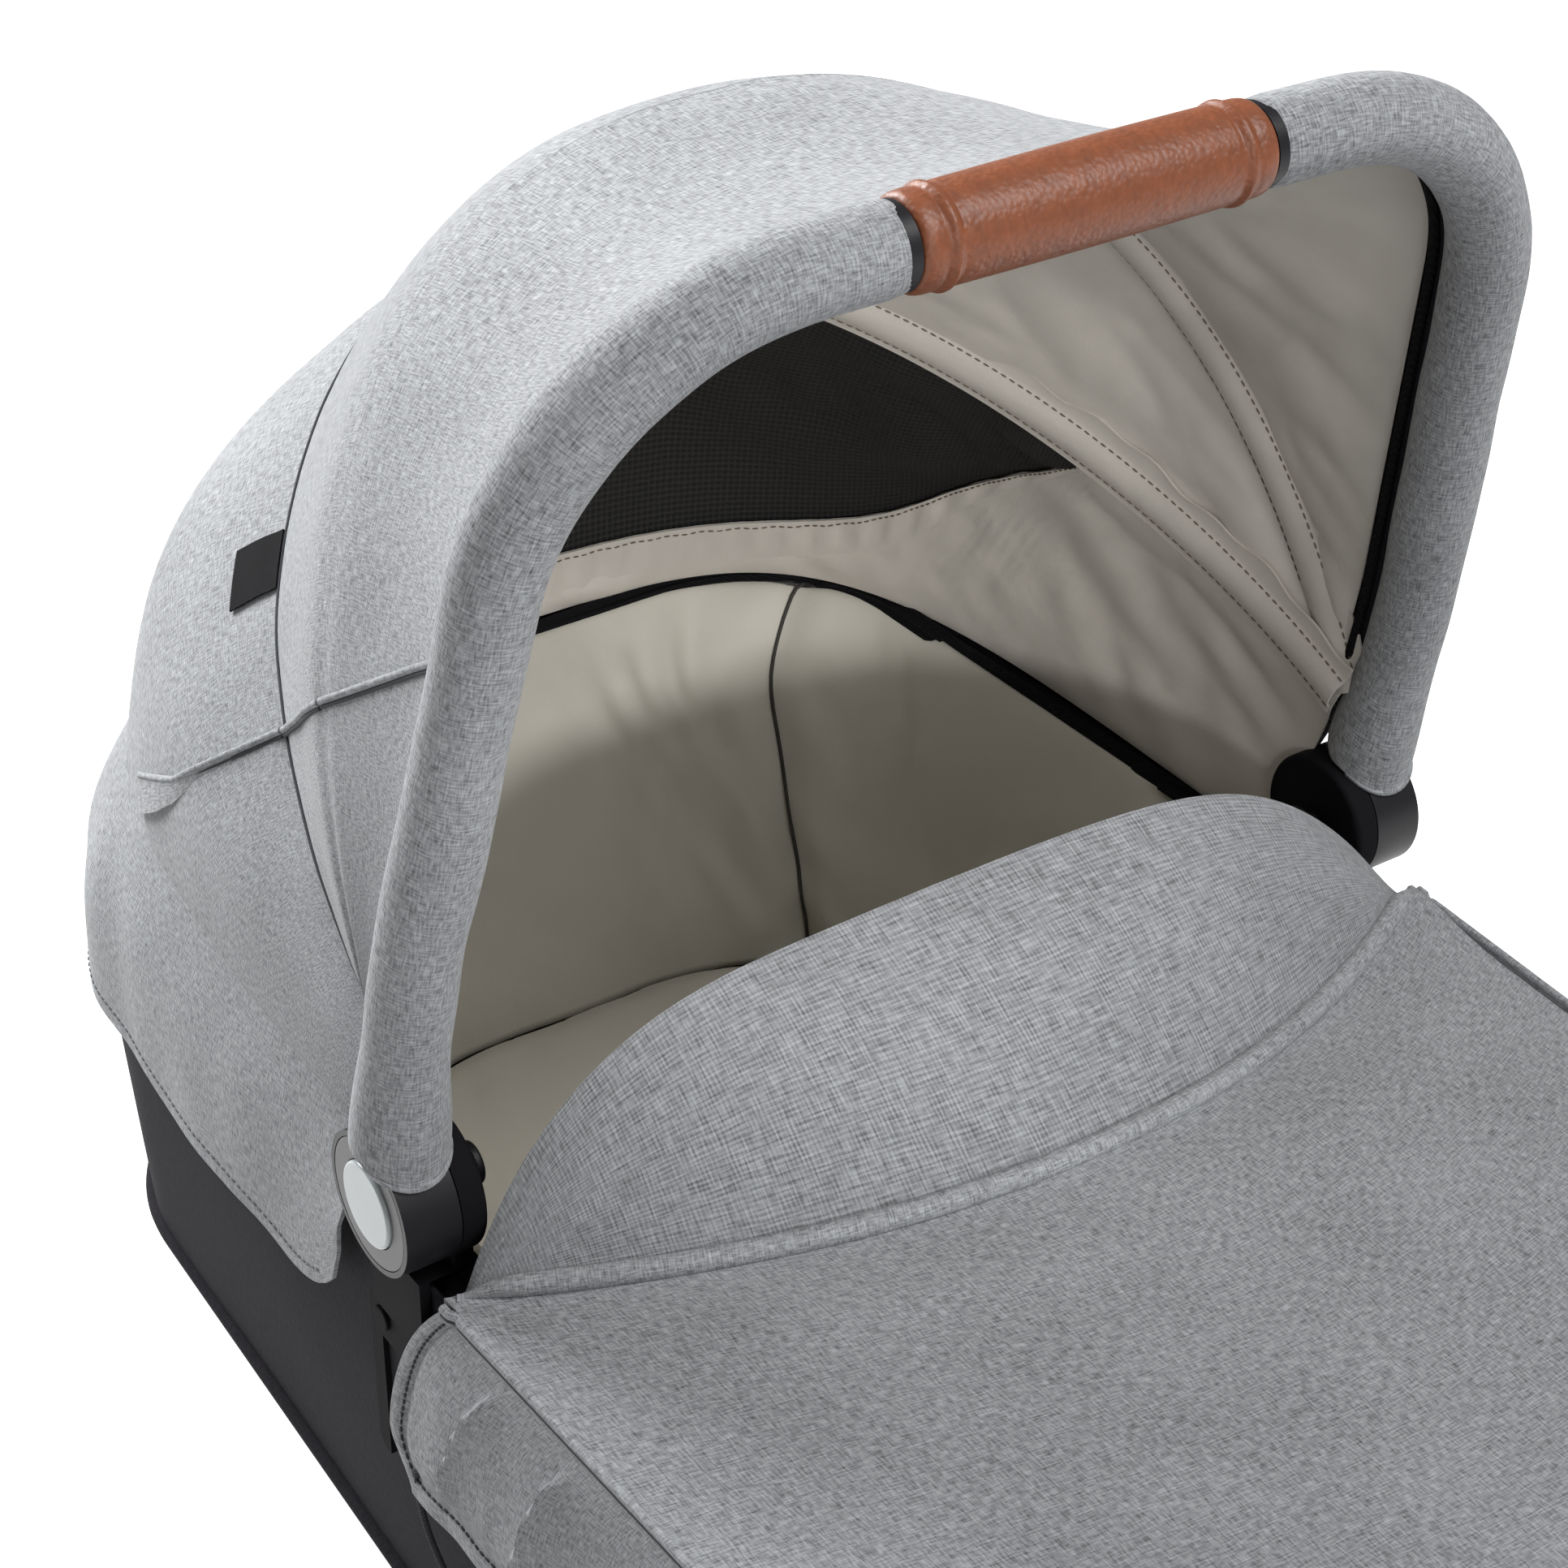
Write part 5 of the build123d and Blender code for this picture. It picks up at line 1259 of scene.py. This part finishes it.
class CARRYCOT_OT_tub(bpy.types.Operator):
    """Dress the tub in charcoal cloth, with the piping round its bottom"""

    bl_idname = "carrycot.tub"
    bl_label = "Tub cover"

    corner = 100.0
    foot_corner = 92.0
    welt = 3.2  # half thickness of the bottom piping
    lean, stand_off, bulge = 6.0, 1.2, 2.2
    thick = 2.2

    def ring(self, grow, z, count=361):
        """The tub's plan outline at one height, closed, from the middle of the right side."""
        half, head, foot = TUB_HIGH[0] + grow, TUB_HIGH[1] + grow, TUB_LOW[1] - grow
        corners = [(half, 0.0), (half - HEAD_TAPER, head), (HEAD_TAPER - half, head), (-half, 0.0),
                   (SIDE_TAPER - half, foot), (half - SIDE_TAPER, foot), (half, 0.0)]
        radii = (self.corner, self.corner, SIDE_RADIUS, self.foot_corner, self.foot_corner)
        return np.column_stack([even(rounded(corners, radii), count), np.full(count, z)])

    def execute(self, context):
        low, high = TUB_LOW[2], TUB_HIGH[2]
        rows = []
        for share in np.linspace(0, 1, 36):
            z = low + (high - low) * share
            grow = -self.lean * (1 - share) + self.stand_off + self.bulge * math.sin(math.pi * share)
            rows.append(self.ring(grow, z))
        rows = np.array(rows)
        square = outward(rows, centre=(0, 0, -120))
        rows = rows + square * ripple(rows, across=95.0, depth=1.2, seed=71.0)[:, :, None]
        rows[:, -1] = rows[:, 0]
        piece = sheet("tub_cover_cloth", rows, MATERIALS["charcoal"], thickness=0.0, centre=(0, 0, -120))
        edit_whole(piece, bpy.ops.mesh.remove_doubles, threshold=1e-6)
        apply_modifier(piece, "SOLIDIFY", thickness=self.thick * MM, offset=-1.0, use_rim=True)
        declare_cloth(rows)
        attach(piece, "tub")
        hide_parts("tub_wall")
        line = self.ring(-4.2, PIPE_LOW[2] + self.welt, 481)
        welt = ring_tube("tub_bottom_welt", line, self.welt, MATERIALS["charcoal"], sides=12,
                         closed_line=True)
        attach(welt, "tub")
        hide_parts("bottom_piping")
        return {"FINISHED"}


class CARRYCOT_OT_padding(bpy.types.Operator):
    """Fill the mattress and the lining pads by simulating their covers as cloth, and bind the rim"""

    bl_idname = "carrycot.padding"
    bl_label = "Lining pads and mattress"

    voxel = 6.0
    cap = 6.0  # how far a point may move when a cover is filled
    columns, levels = 421, 30
    corner = 88.0
    sides = (-1, 1, -1, 1)  # which way along the columns the end pad lies from each corner seam
    seam_deep, seam_wide = 9.0, 8.0
    seam_drift = 22.0  # how far a corner seam strays to the end pad on its way down
    # the tube of painted shade in each corner seam: half its thickness, and its rise off the pads
    seam_thick, seam_up = 0.85, 1.3
    gather_high, gather_reach = 2.4, 46.0
    pad_thick = 7.0
    steps = 20  # of the cloth simulation
    # Creases by each corner seam, as (from the seam, down from the rim) at both ends and the height, in
    # millimetres; those from the seam towards the pads of the two sides are below zero.
    creases = (
        ((80.0, 22.0), (50.0, 84.0), 5.6), ((70.0, 12.0), (44.0, 58.0), 4.6),
        ((46.0, 6.0), (30.0, 60.0), 5.2), ((28.0, 56.0), (6.0, 90.0), 4.8),
        ((44.0, 86.0), (18.0, 130.0), 4.0),
        ((-30.0, 34.0), (-74.0, 16.0), 3.4), ((-24.0, 72.0), (-88.0, 26.0), 4.2),
        ((-96.0, 78.0), (-170.0, 44.0), 4.0),
    )
    crease_wide = 6.0
    tabs = ((44.0, 92.0), (236.0, 302.0))  # where the rim binding is wider, towards the head
    tab_slope = 8.0

    def execute(self, context):
        mattress = self.cover("mattress")
        self.inflate(mattress, pressure=4.0, pins=None)
        self.finish(mattress, 0.7, "mattress")
        rows, towards_end, seam_lines = self.pad_rows()
        ring = surface("lining_pads", rows, MATERIALS["pad"])
        self.sew(ring, np.abs(towards_end))
        self.inflate(ring, pressure=5.0, pins="sewn")
        self.crease(ring, rows, towards_end)
        apply_modifier(ring, "SUBSURF", levels=1)
        apply_modifier(ring, "SOLIDIFY", thickness=self.pad_thick * MM, offset=-1.0, use_rim=True)
        self.finish(ring, 0.6, "lining_head", "lining_foot", "lining_right", "lining_left")
        # a dark tube along each corner seam: painted shade in the seam's valley
        for number, line in enumerate(seam_lines):
            seam = ring_tube(f"lining_corner_seam_shade_{number + 1}", even(line[2:], 40), self.seam_thick,
                             MATERIALS["pad_seam"], sides=8)
            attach(seam, "tub")
        self.rim_binding()
        return {"FINISHED"}

    def rim_binding(self):
        """The black binding between the pads and the canopy lining at the head end, with its wider tabs."""
        plan = even(self.plan(TRIM_HIGH[0], TRIM_HIGH[1], TRIM_LOW[1], self.corner), 2401)
        hood = even(plan[plan[:, 1] > self.tabs[0][0]], 301)
        inwards = unit(hood.mean(axis=0) - hood)
        tab = np.zeros(len(hood))
        for low, high in self.tabs:
            begins = smooth_step(hood[:, 1], low - self.tab_slope, low)
            ends = smooth_step(hood[:, 1], high, high + self.tab_slope)
            tab = np.maximum(tab, begins * (1 - ends))
        rows = []
        for inset, rise, wider in ((9.8, 2.8, 1.0), (9.4, 4.0, 0.5), (9.0, 5.2, 0.0), (8.4, 6.8, 0.0)):
            flat = hood + inwards * (inset + 3.4 * wider * tab)[:, None]
            rows.append(np.column_stack([flat, RIM + rise - 4.0 * wider * tab + 0.6 * tab]))
        piece = sheet("rim_binding_tape", rows, MATERIALS["binding"], 1.0, centre=(0, 100, -60), inside=True)
        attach(piece, "tub")
        declare_cloth(rows)

    def finish(self, piece, fill, *nodes):
        """Smooth a padded piece, colour it and put it in place of its solids."""
        activate(piece)
        bpy.ops.object.shade_smooth()
        piece.data.materials.clear()
        piece.data.materials.append(MATERIALS["pad"])
        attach(piece, "tub")
        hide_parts(*nodes)

    def plan(self, half, head, foot, corner):
        """The lining's plan outline from its reach to each side, from the middle of the foot end."""
        right = [(0.0, foot), (half - SIDE_TAPER, foot), (half, 0.0), (half - HEAD_TAPER, head)]
        corners = right + [(-x, y) for x, y in reversed(right)]
        return rounded(corners, (corner, SIDE_RADIUS, corner, corner, SIDE_RADIUS, corner))

    def pad_rows(self):
        """Rows of the pads from the rim to the mattress, how far each point lies from the nearest corner seam
        towards the end pad (below zero on the side pads), and the seams' lines."""
        top = np.array([TRIM_HIGH[0], TRIM_HIGH[1], TRIM_LOW[1]])
        low = np.array([MAT_HIGH[0] - 5.0, MAT_HIGH[1] - 11.0, MAT_LOW[1] + 11.0])
        inwards = np.array([-1.0, -1.0, 1.0])
        high, deep = RIM + 1.5, MAT_HIGH[2] - 9.0
        lines = []
        for share, roll, lift in ((0.0, 5.0, -6.0), (0.0, 8.5, 0.0), (0.04, 13.0, -1.5), (0.36, 19.0, 0.0),
                                  (0.70, 17.0, 0.0), (1.0, 0.0, 0.0)):
            reach = top + (low - top) * share + inwards * roll
            flat = even(self.plan(*reach, self.corner + 22.0 * share), self.columns)
            z = high + (deep - high) * share + lift
            lines.append(np.column_stack([flat, np.full(self.columns, z)]))
        knots = np.array([0.0, 0.06, 0.14, 0.45, 0.75, 1.0])
        rows = loft(lines, knots, np.linspace(0, 1, self.levels) ** 1.25)
        flat = rows[self.levels // 2]
        seams = sorted(max(range(self.columns), key=lambda k: x * flat[k, 0] + y * flat[k, 1] * 0.72)
                       for x in (-1, 1) for y in (-1, 1))
        step = np.linalg.norm(np.diff(flat, axis=0), axis=1).mean()
        drift = self.seam_drift / step * smooth_step(np.linspace(0, 1, self.levels), 0.0, 0.45)
        tracks = [seam + side * drift for seam, side in zip(seams, self.sides)]
        numbers = np.arange(self.columns)
        gaps = np.array([(numbers[None, :] - track[:, None]) * side * step
                         for track, side in zip(tracks, self.sides)])
        nearest = np.argmin(np.abs(gaps), axis=0)
        towards_end = np.take_along_axis(gaps, nearest[None], axis=0)[0]
        from_seam = np.abs(towards_end)
        inward = outward(rows, centre=(0, 0, -120)) * -1
        depth = np.sin(np.linspace(0.05, 1, self.levels) * math.pi * 0.62)[:, None]
        valley = self.seam_deep * np.exp(-(from_seam / self.seam_wide) ** 2) * depth
        gather = np.exp(-from_seam / self.gather_reach) * depth * self.gather_high
        slant = rows[:, :, 2] * 0.16 + from_seam * 0.11
        folds = gather * np.sin(slant + ripple(rows, across=40.0, depth=1.6, seed=83.0))
        folds += ripple(rows * np.array([1.0, 1.0, 0.55]), across=44.0, depth=2.6, seed=87.0) * depth
        rows = rows + inward * (folds - valley)[:, :, None]
        rows[:, -1] = rows[:, 0]
        raised = rows + inward * self.seam_up
        lines = [np.array([[np.interp(at, numbers, row[:, k]) for k in range(3)]
                           for at, row in zip(track, raised)]) for track in tracks]
        return rows, towards_end, lines

    def crease(self, ring, rows, towards_end):
        """Press the slanting creases by the corner seams into the filled pads."""
        inward = outward(rows, centre=(0, 0, -120)) * -1
        down = RIM - rows[:, :, 2]
        lift = np.zeros(rows.shape[:2])
        for start, end, high in self.creases:
            run = np.array(end) - np.array(start)
            length = np.hypot(*run)
            over, under = towards_end - start[0], down - start[1]
            along = (over * run[0] + under * run[1]) / length ** 2
            aside = (over * run[1] - under * run[0]) / length / self.crease_wide
            fade = smooth_step(along, -0.15, 0.3) * (1 - smooth_step(along, 0.7, 1.15))
            lift += high * fade * (np.exp(-(aside - 0.5) ** 2) - np.exp(-(aside + 0.6) ** 2))
        lift[:, -1] = lift[:, 0]
        points = np.array([v.co for v in ring.data.vertices])
        points += (inward * lift[:, :, None]).reshape(-1, 3) * MM
        ring.data.vertices.foreach_set("co", points.reshape(-1))
        ring.data.update()

    def sew(self, ring, from_seam):
        """Pin the pads along the rim, the mattress and the corner seams."""
        group = ring.vertex_groups.new(name="sewn")
        for number in range(self.levels * self.columns):
            row, column = divmod(number, self.columns)
            held = row < 6 or row > self.levels - 2 or from_seam[row, column] < self.seam_wide * 0.35
            if held or column in (0, self.columns - 1):
                group.add([number], 1.0, "REPLACE")

    def cover(self, name):
        """A remeshed copy of a padded solid, drawn in a little so that it can swell."""
        solid = frame["nodes"][name]
        piece = bpy.data.objects.new(f"{name}_cover", solid.data.copy())
        bpy.context.collection.objects.link(piece)
        edit_whole(piece, bpy.ops.mesh.remove_doubles, threshold=1e-5)
        apply_modifier(piece, "REMESH", mode="VOXEL", voxel_size=self.voxel * MM)
        edit_whole(piece, bpy.ops.transform.shrink_fatten, value=-2.0 * MM)
        return piece

    def inflate(self, piece, pressure, pins):
        """Swell a cover with cloth pressure, limiting how far each point may move."""
        scene = bpy.context.scene
        before = np.array([v.co for v in piece.data.vertices])
        cloth = piece.modifiers.new("Cloth", "CLOTH")
        cloth.settings.use_pressure = True
        cloth.settings.uniform_pressure_force = pressure
        cloth.settings.effector_weights.gravity = 0.0
        cloth.settings.quality = 4
        if pins:
            cloth.settings.vertex_group_mass = pins
        cloth.point_cache.frame_start, cloth.point_cache.frame_end = 1, self.steps
        for number in range(1, self.steps + 1):
            scene.frame_set(number)
        held = piece.evaluated_get(bpy.context.evaluated_depsgraph_get())
        after = np.array([v.co for v in held.data.vertices])
        piece.modifiers.remove(cloth)
        scene.frame_set(1)
        move = after - before
        length = np.linalg.norm(move, axis=1, keepdims=True).clip(1e-9)
        move *= np.minimum(1.0, self.cap * MM / length)
        piece.data.vertices.foreach_set("co", (before + move).reshape(-1))
        piece.data.update()


class CARRYCOT_OT_hardware(bpy.types.Operator):
    """Give the moulded, metal and rubber parts of the frame their finishes"""

    bl_idname = "carrycot.hardware"
    bl_label = "Hubs, frame and feet"

    finishes = {
        "nylon": ("base_pan", "hub_cap", "lock_gear", "grip_collar", "rib_"),
        "matte_nylon": ("side_bracket", "hub_housing", "bracket_screws"),
        "ring": ("hub_ring",),
        "button": ("button_right", "button_left"),
        "steel": ("button_spring",),
        "black_steel": ("pivot_bolt",),
        "aluminium": ("rim_frame", "handle_tube"),
        "rubber": ("foot_pads",),
        "board": ("base_board",),
        "binding": ("rim_trim", "rim_tabs"),
    }

    def execute(self, context):
        for finish, stems in self.finishes.items():
            for name, solid in frame["nodes"].items():
                if name.startswith(stems):
                    solid.data.materials.clear()
                    solid.data.materials.append(MATERIALS[finish])
        return {"FINISHED"}


class CARRYCOT_OT_stage(bpy.types.Operator):
    """Set a pale floor, soft studio light and the camera"""

    bl_idname = "carrycot.stage"
    bl_label = "Stage"

    azimuth, elevation, roll = -34.349, 33.583, 0.611
    distance, shift_right, shift_up = 1241.8, -48.1, 72.1  # from the hubs' middle, in millimetres
    focal_pixels, photo_pixels, sensor = 4176.6, 1932.0, 36.0
    floor_wide, floor_gap, floor_glow = 12.0, 0.0005, 0.85  # metres, and the strength of its glow
    # a soft key from behind, a weak front light, a high one on the right and a spot into the hood: place and
    # aim in millimetres from the hub axis, watts, and the lamp's width in metres
    lamps = (
        ("key", (-380, 1640, 1120), (-60, 120, 80), 68.0, 1.2),
        ("front", (-150, -1800, 900), (0, 120, 0), 7.0, 0.9),
        ("top", (560, -900, 1700), (0, 0, 0), 22.0, 0.8),
        ("hood", (-680, -1450, 600), (110, 280, 30), 66.0, 0.0),
    )
    spot_cone, spot_blend, spot_soft = 13.0, 0.7, 0.06
    sky = 0.23

    def execute(self, context):
        self.floor()
        self.lights(context.scene)
        self.camera(context.scene)
        return {"FINISHED"}

    def floor(self):
        """A wide pale floor that glows for the camera and in reflections, but lights nothing."""
        deselect_all()
        bpy.ops.mesh.primitive_plane_add(size=self.floor_wide, location=(0, 0, -self.floor_gap))
        floor = bpy.context.object
        floor.name = "floor"
        material, tree, shader = new_material("White studio floor", 0.9)
        shader.inputs["Base Color"].default_value = hex_colour("#c8c8c8") + [1.0]
        light_path = add_node(tree, "ShaderNodeLightPath")
        glow = add_node(tree, "ShaderNodeEmission", {"Color": (1, 1, 1, 1), "Strength": self.floor_glow})
        rays = {0: light_path.outputs["Is Camera Ray"], 1: light_path.outputs["Is Glossy Ray"]}
        seen = add_node(tree, "ShaderNodeMath", links=rays, operation="MAXIMUM")
        nothing = add_node(tree, "ShaderNodeEmission", {"Strength": 0.0})
        mix = add_node(tree, "ShaderNodeMixShader", links={"Fac": seen.outputs[0], 1: nothing.outputs[0],
                                                           2: glow.outputs[0]})
        both = add_node(tree, "ShaderNodeAddShader", links={0: shader.outputs[0], 1: mix.outputs[0]})
        output = next(n for n in tree.nodes if n.bl_idname == "ShaderNodeOutputMaterial")
        tree.links.new(both.outputs[0], output.inputs["Surface"])
        floor.data.materials.append(material)

    def lights(self, scene):
        """The lamps and an even sky."""
        for name, place, aim, power, wide in self.lamps:
            data = bpy.data.lights.new(name, "AREA" if wide else "SPOT")
            data.energy = power
            if wide:
                data.size = wide
            else:
                data.spot_size = math.radians(self.spot_cone)
                data.spot_blend = self.spot_blend
                data.shadow_soft_size = self.spot_soft
            lamp = bpy.data.objects.new(name, data)
            scene.collection.objects.link(lamp)
            stand, target = Vector(to_frame(place)), Vector(to_frame(aim))
            lamp.location = stand
            lamp.rotation_euler = (target - stand).to_track_quat("-Z", "Y").to_euler()
        world = bpy.data.worlds.new("Studio")
        world.use_nodes = True
        world.node_tree.nodes["Background"].inputs["Color"].default_value = (1, 1, 1, 1)
        world.node_tree.nodes["Background"].inputs["Strength"].default_value = self.sky
        scene.world = world
        scene.view_settings.view_transform = "Standard"

    def camera(self, scene):
        """The camera at the photograph's place, seen from the foot end's left."""
        a, e, r = (math.radians(v) for v in (self.azimuth, self.elevation, self.roll))
        back = Vector((math.sin(a) * math.cos(e), -math.cos(a) * math.cos(e), math.sin(e)))
        right = Vector((math.cos(a), math.sin(a), 0))
        up = right.cross(-back)
        place = back * self.distance + right * self.shift_right + up * self.shift_up
        turned_right = right * math.cos(r) + up * math.sin(r)
        turned_up = up * math.cos(r) - right * math.sin(r)
        data = bpy.data.cameras.new("photo_view")
        data.sensor_width = self.sensor
        data.lens = self.focal_pixels * self.sensor / self.photo_pixels
        data.clip_start, data.clip_end = 0.05, 50.0
        camera = bpy.data.objects.new("photo_view", data)
        scene.collection.objects.link(camera)
        matrix = Matrix((turned_right, turned_up, back)).transposed().to_4x4()
        matrix.translation = Vector(to_frame(place))
        camera.matrix_world = matrix
        scene.camera = camera


class CARRYCOT_PT_panel(bpy.types.Panel):
    """Lists the steps that dress the carrycot"""

    bl_label = "Carrycot"
    bl_idname = "CARRYCOT_PT_panel"
    bl_space_type = "VIEW_3D"
    bl_region_type = "UI"
    bl_category = "Carrycot"

    def draw(self, context):
        for step in STEPS:
            self.layout.operator(step.bl_idname)
        for group in (context.scene.carrycot_sizes, context.scene.carrycot_colours):
            for key in group.__annotations__:
                self.layout.prop(group, key)


STEPS = (
    CARRYCOT_OT_stage,
    CARRYCOT_OT_hardware,
    CARRYCOT_OT_tub,
    CARRYCOT_OT_padding,
    CARRYCOT_OT_canopy,
    CARRYCOT_OT_lining,
    CARRYCOT_OT_bow,
    CARRYCOT_OT_apron,
)
CLASSES = (CarrycotSizes, CarrycotColours, *STEPS, CARRYCOT_PT_panel)


def register():
    """Add the classes and the scene's settings."""
    for item in CLASSES:
        bpy.utils.register_class(item)
    bpy.types.Scene.carrycot_sizes = PointerProperty(type=CarrycotSizes)
    bpy.types.Scene.carrycot_colours = PointerProperty(type=CarrycotColours)


def unregister():
    """Remove the settings and the classes."""
    del bpy.types.Scene.carrycot_colours
    del bpy.types.Scene.carrycot_sizes
    for item in reversed(CLASSES):
        bpy.utils.unregister_class(item)


def main():
    """Dress the carrycot step by step."""
    register()
    make_materials()
    bpy.ops.carrycot.stage()
    bpy.ops.carrycot.hardware()
    bpy.ops.carrycot.tub()
    bpy.ops.carrycot.padding()
    bpy.ops.carrycot.canopy()
    bpy.ops.carrycot.lining()
    bpy.ops.carrycot.bow()
    bpy.ops.carrycot.apron()


if __name__ == "__main__":
    main()
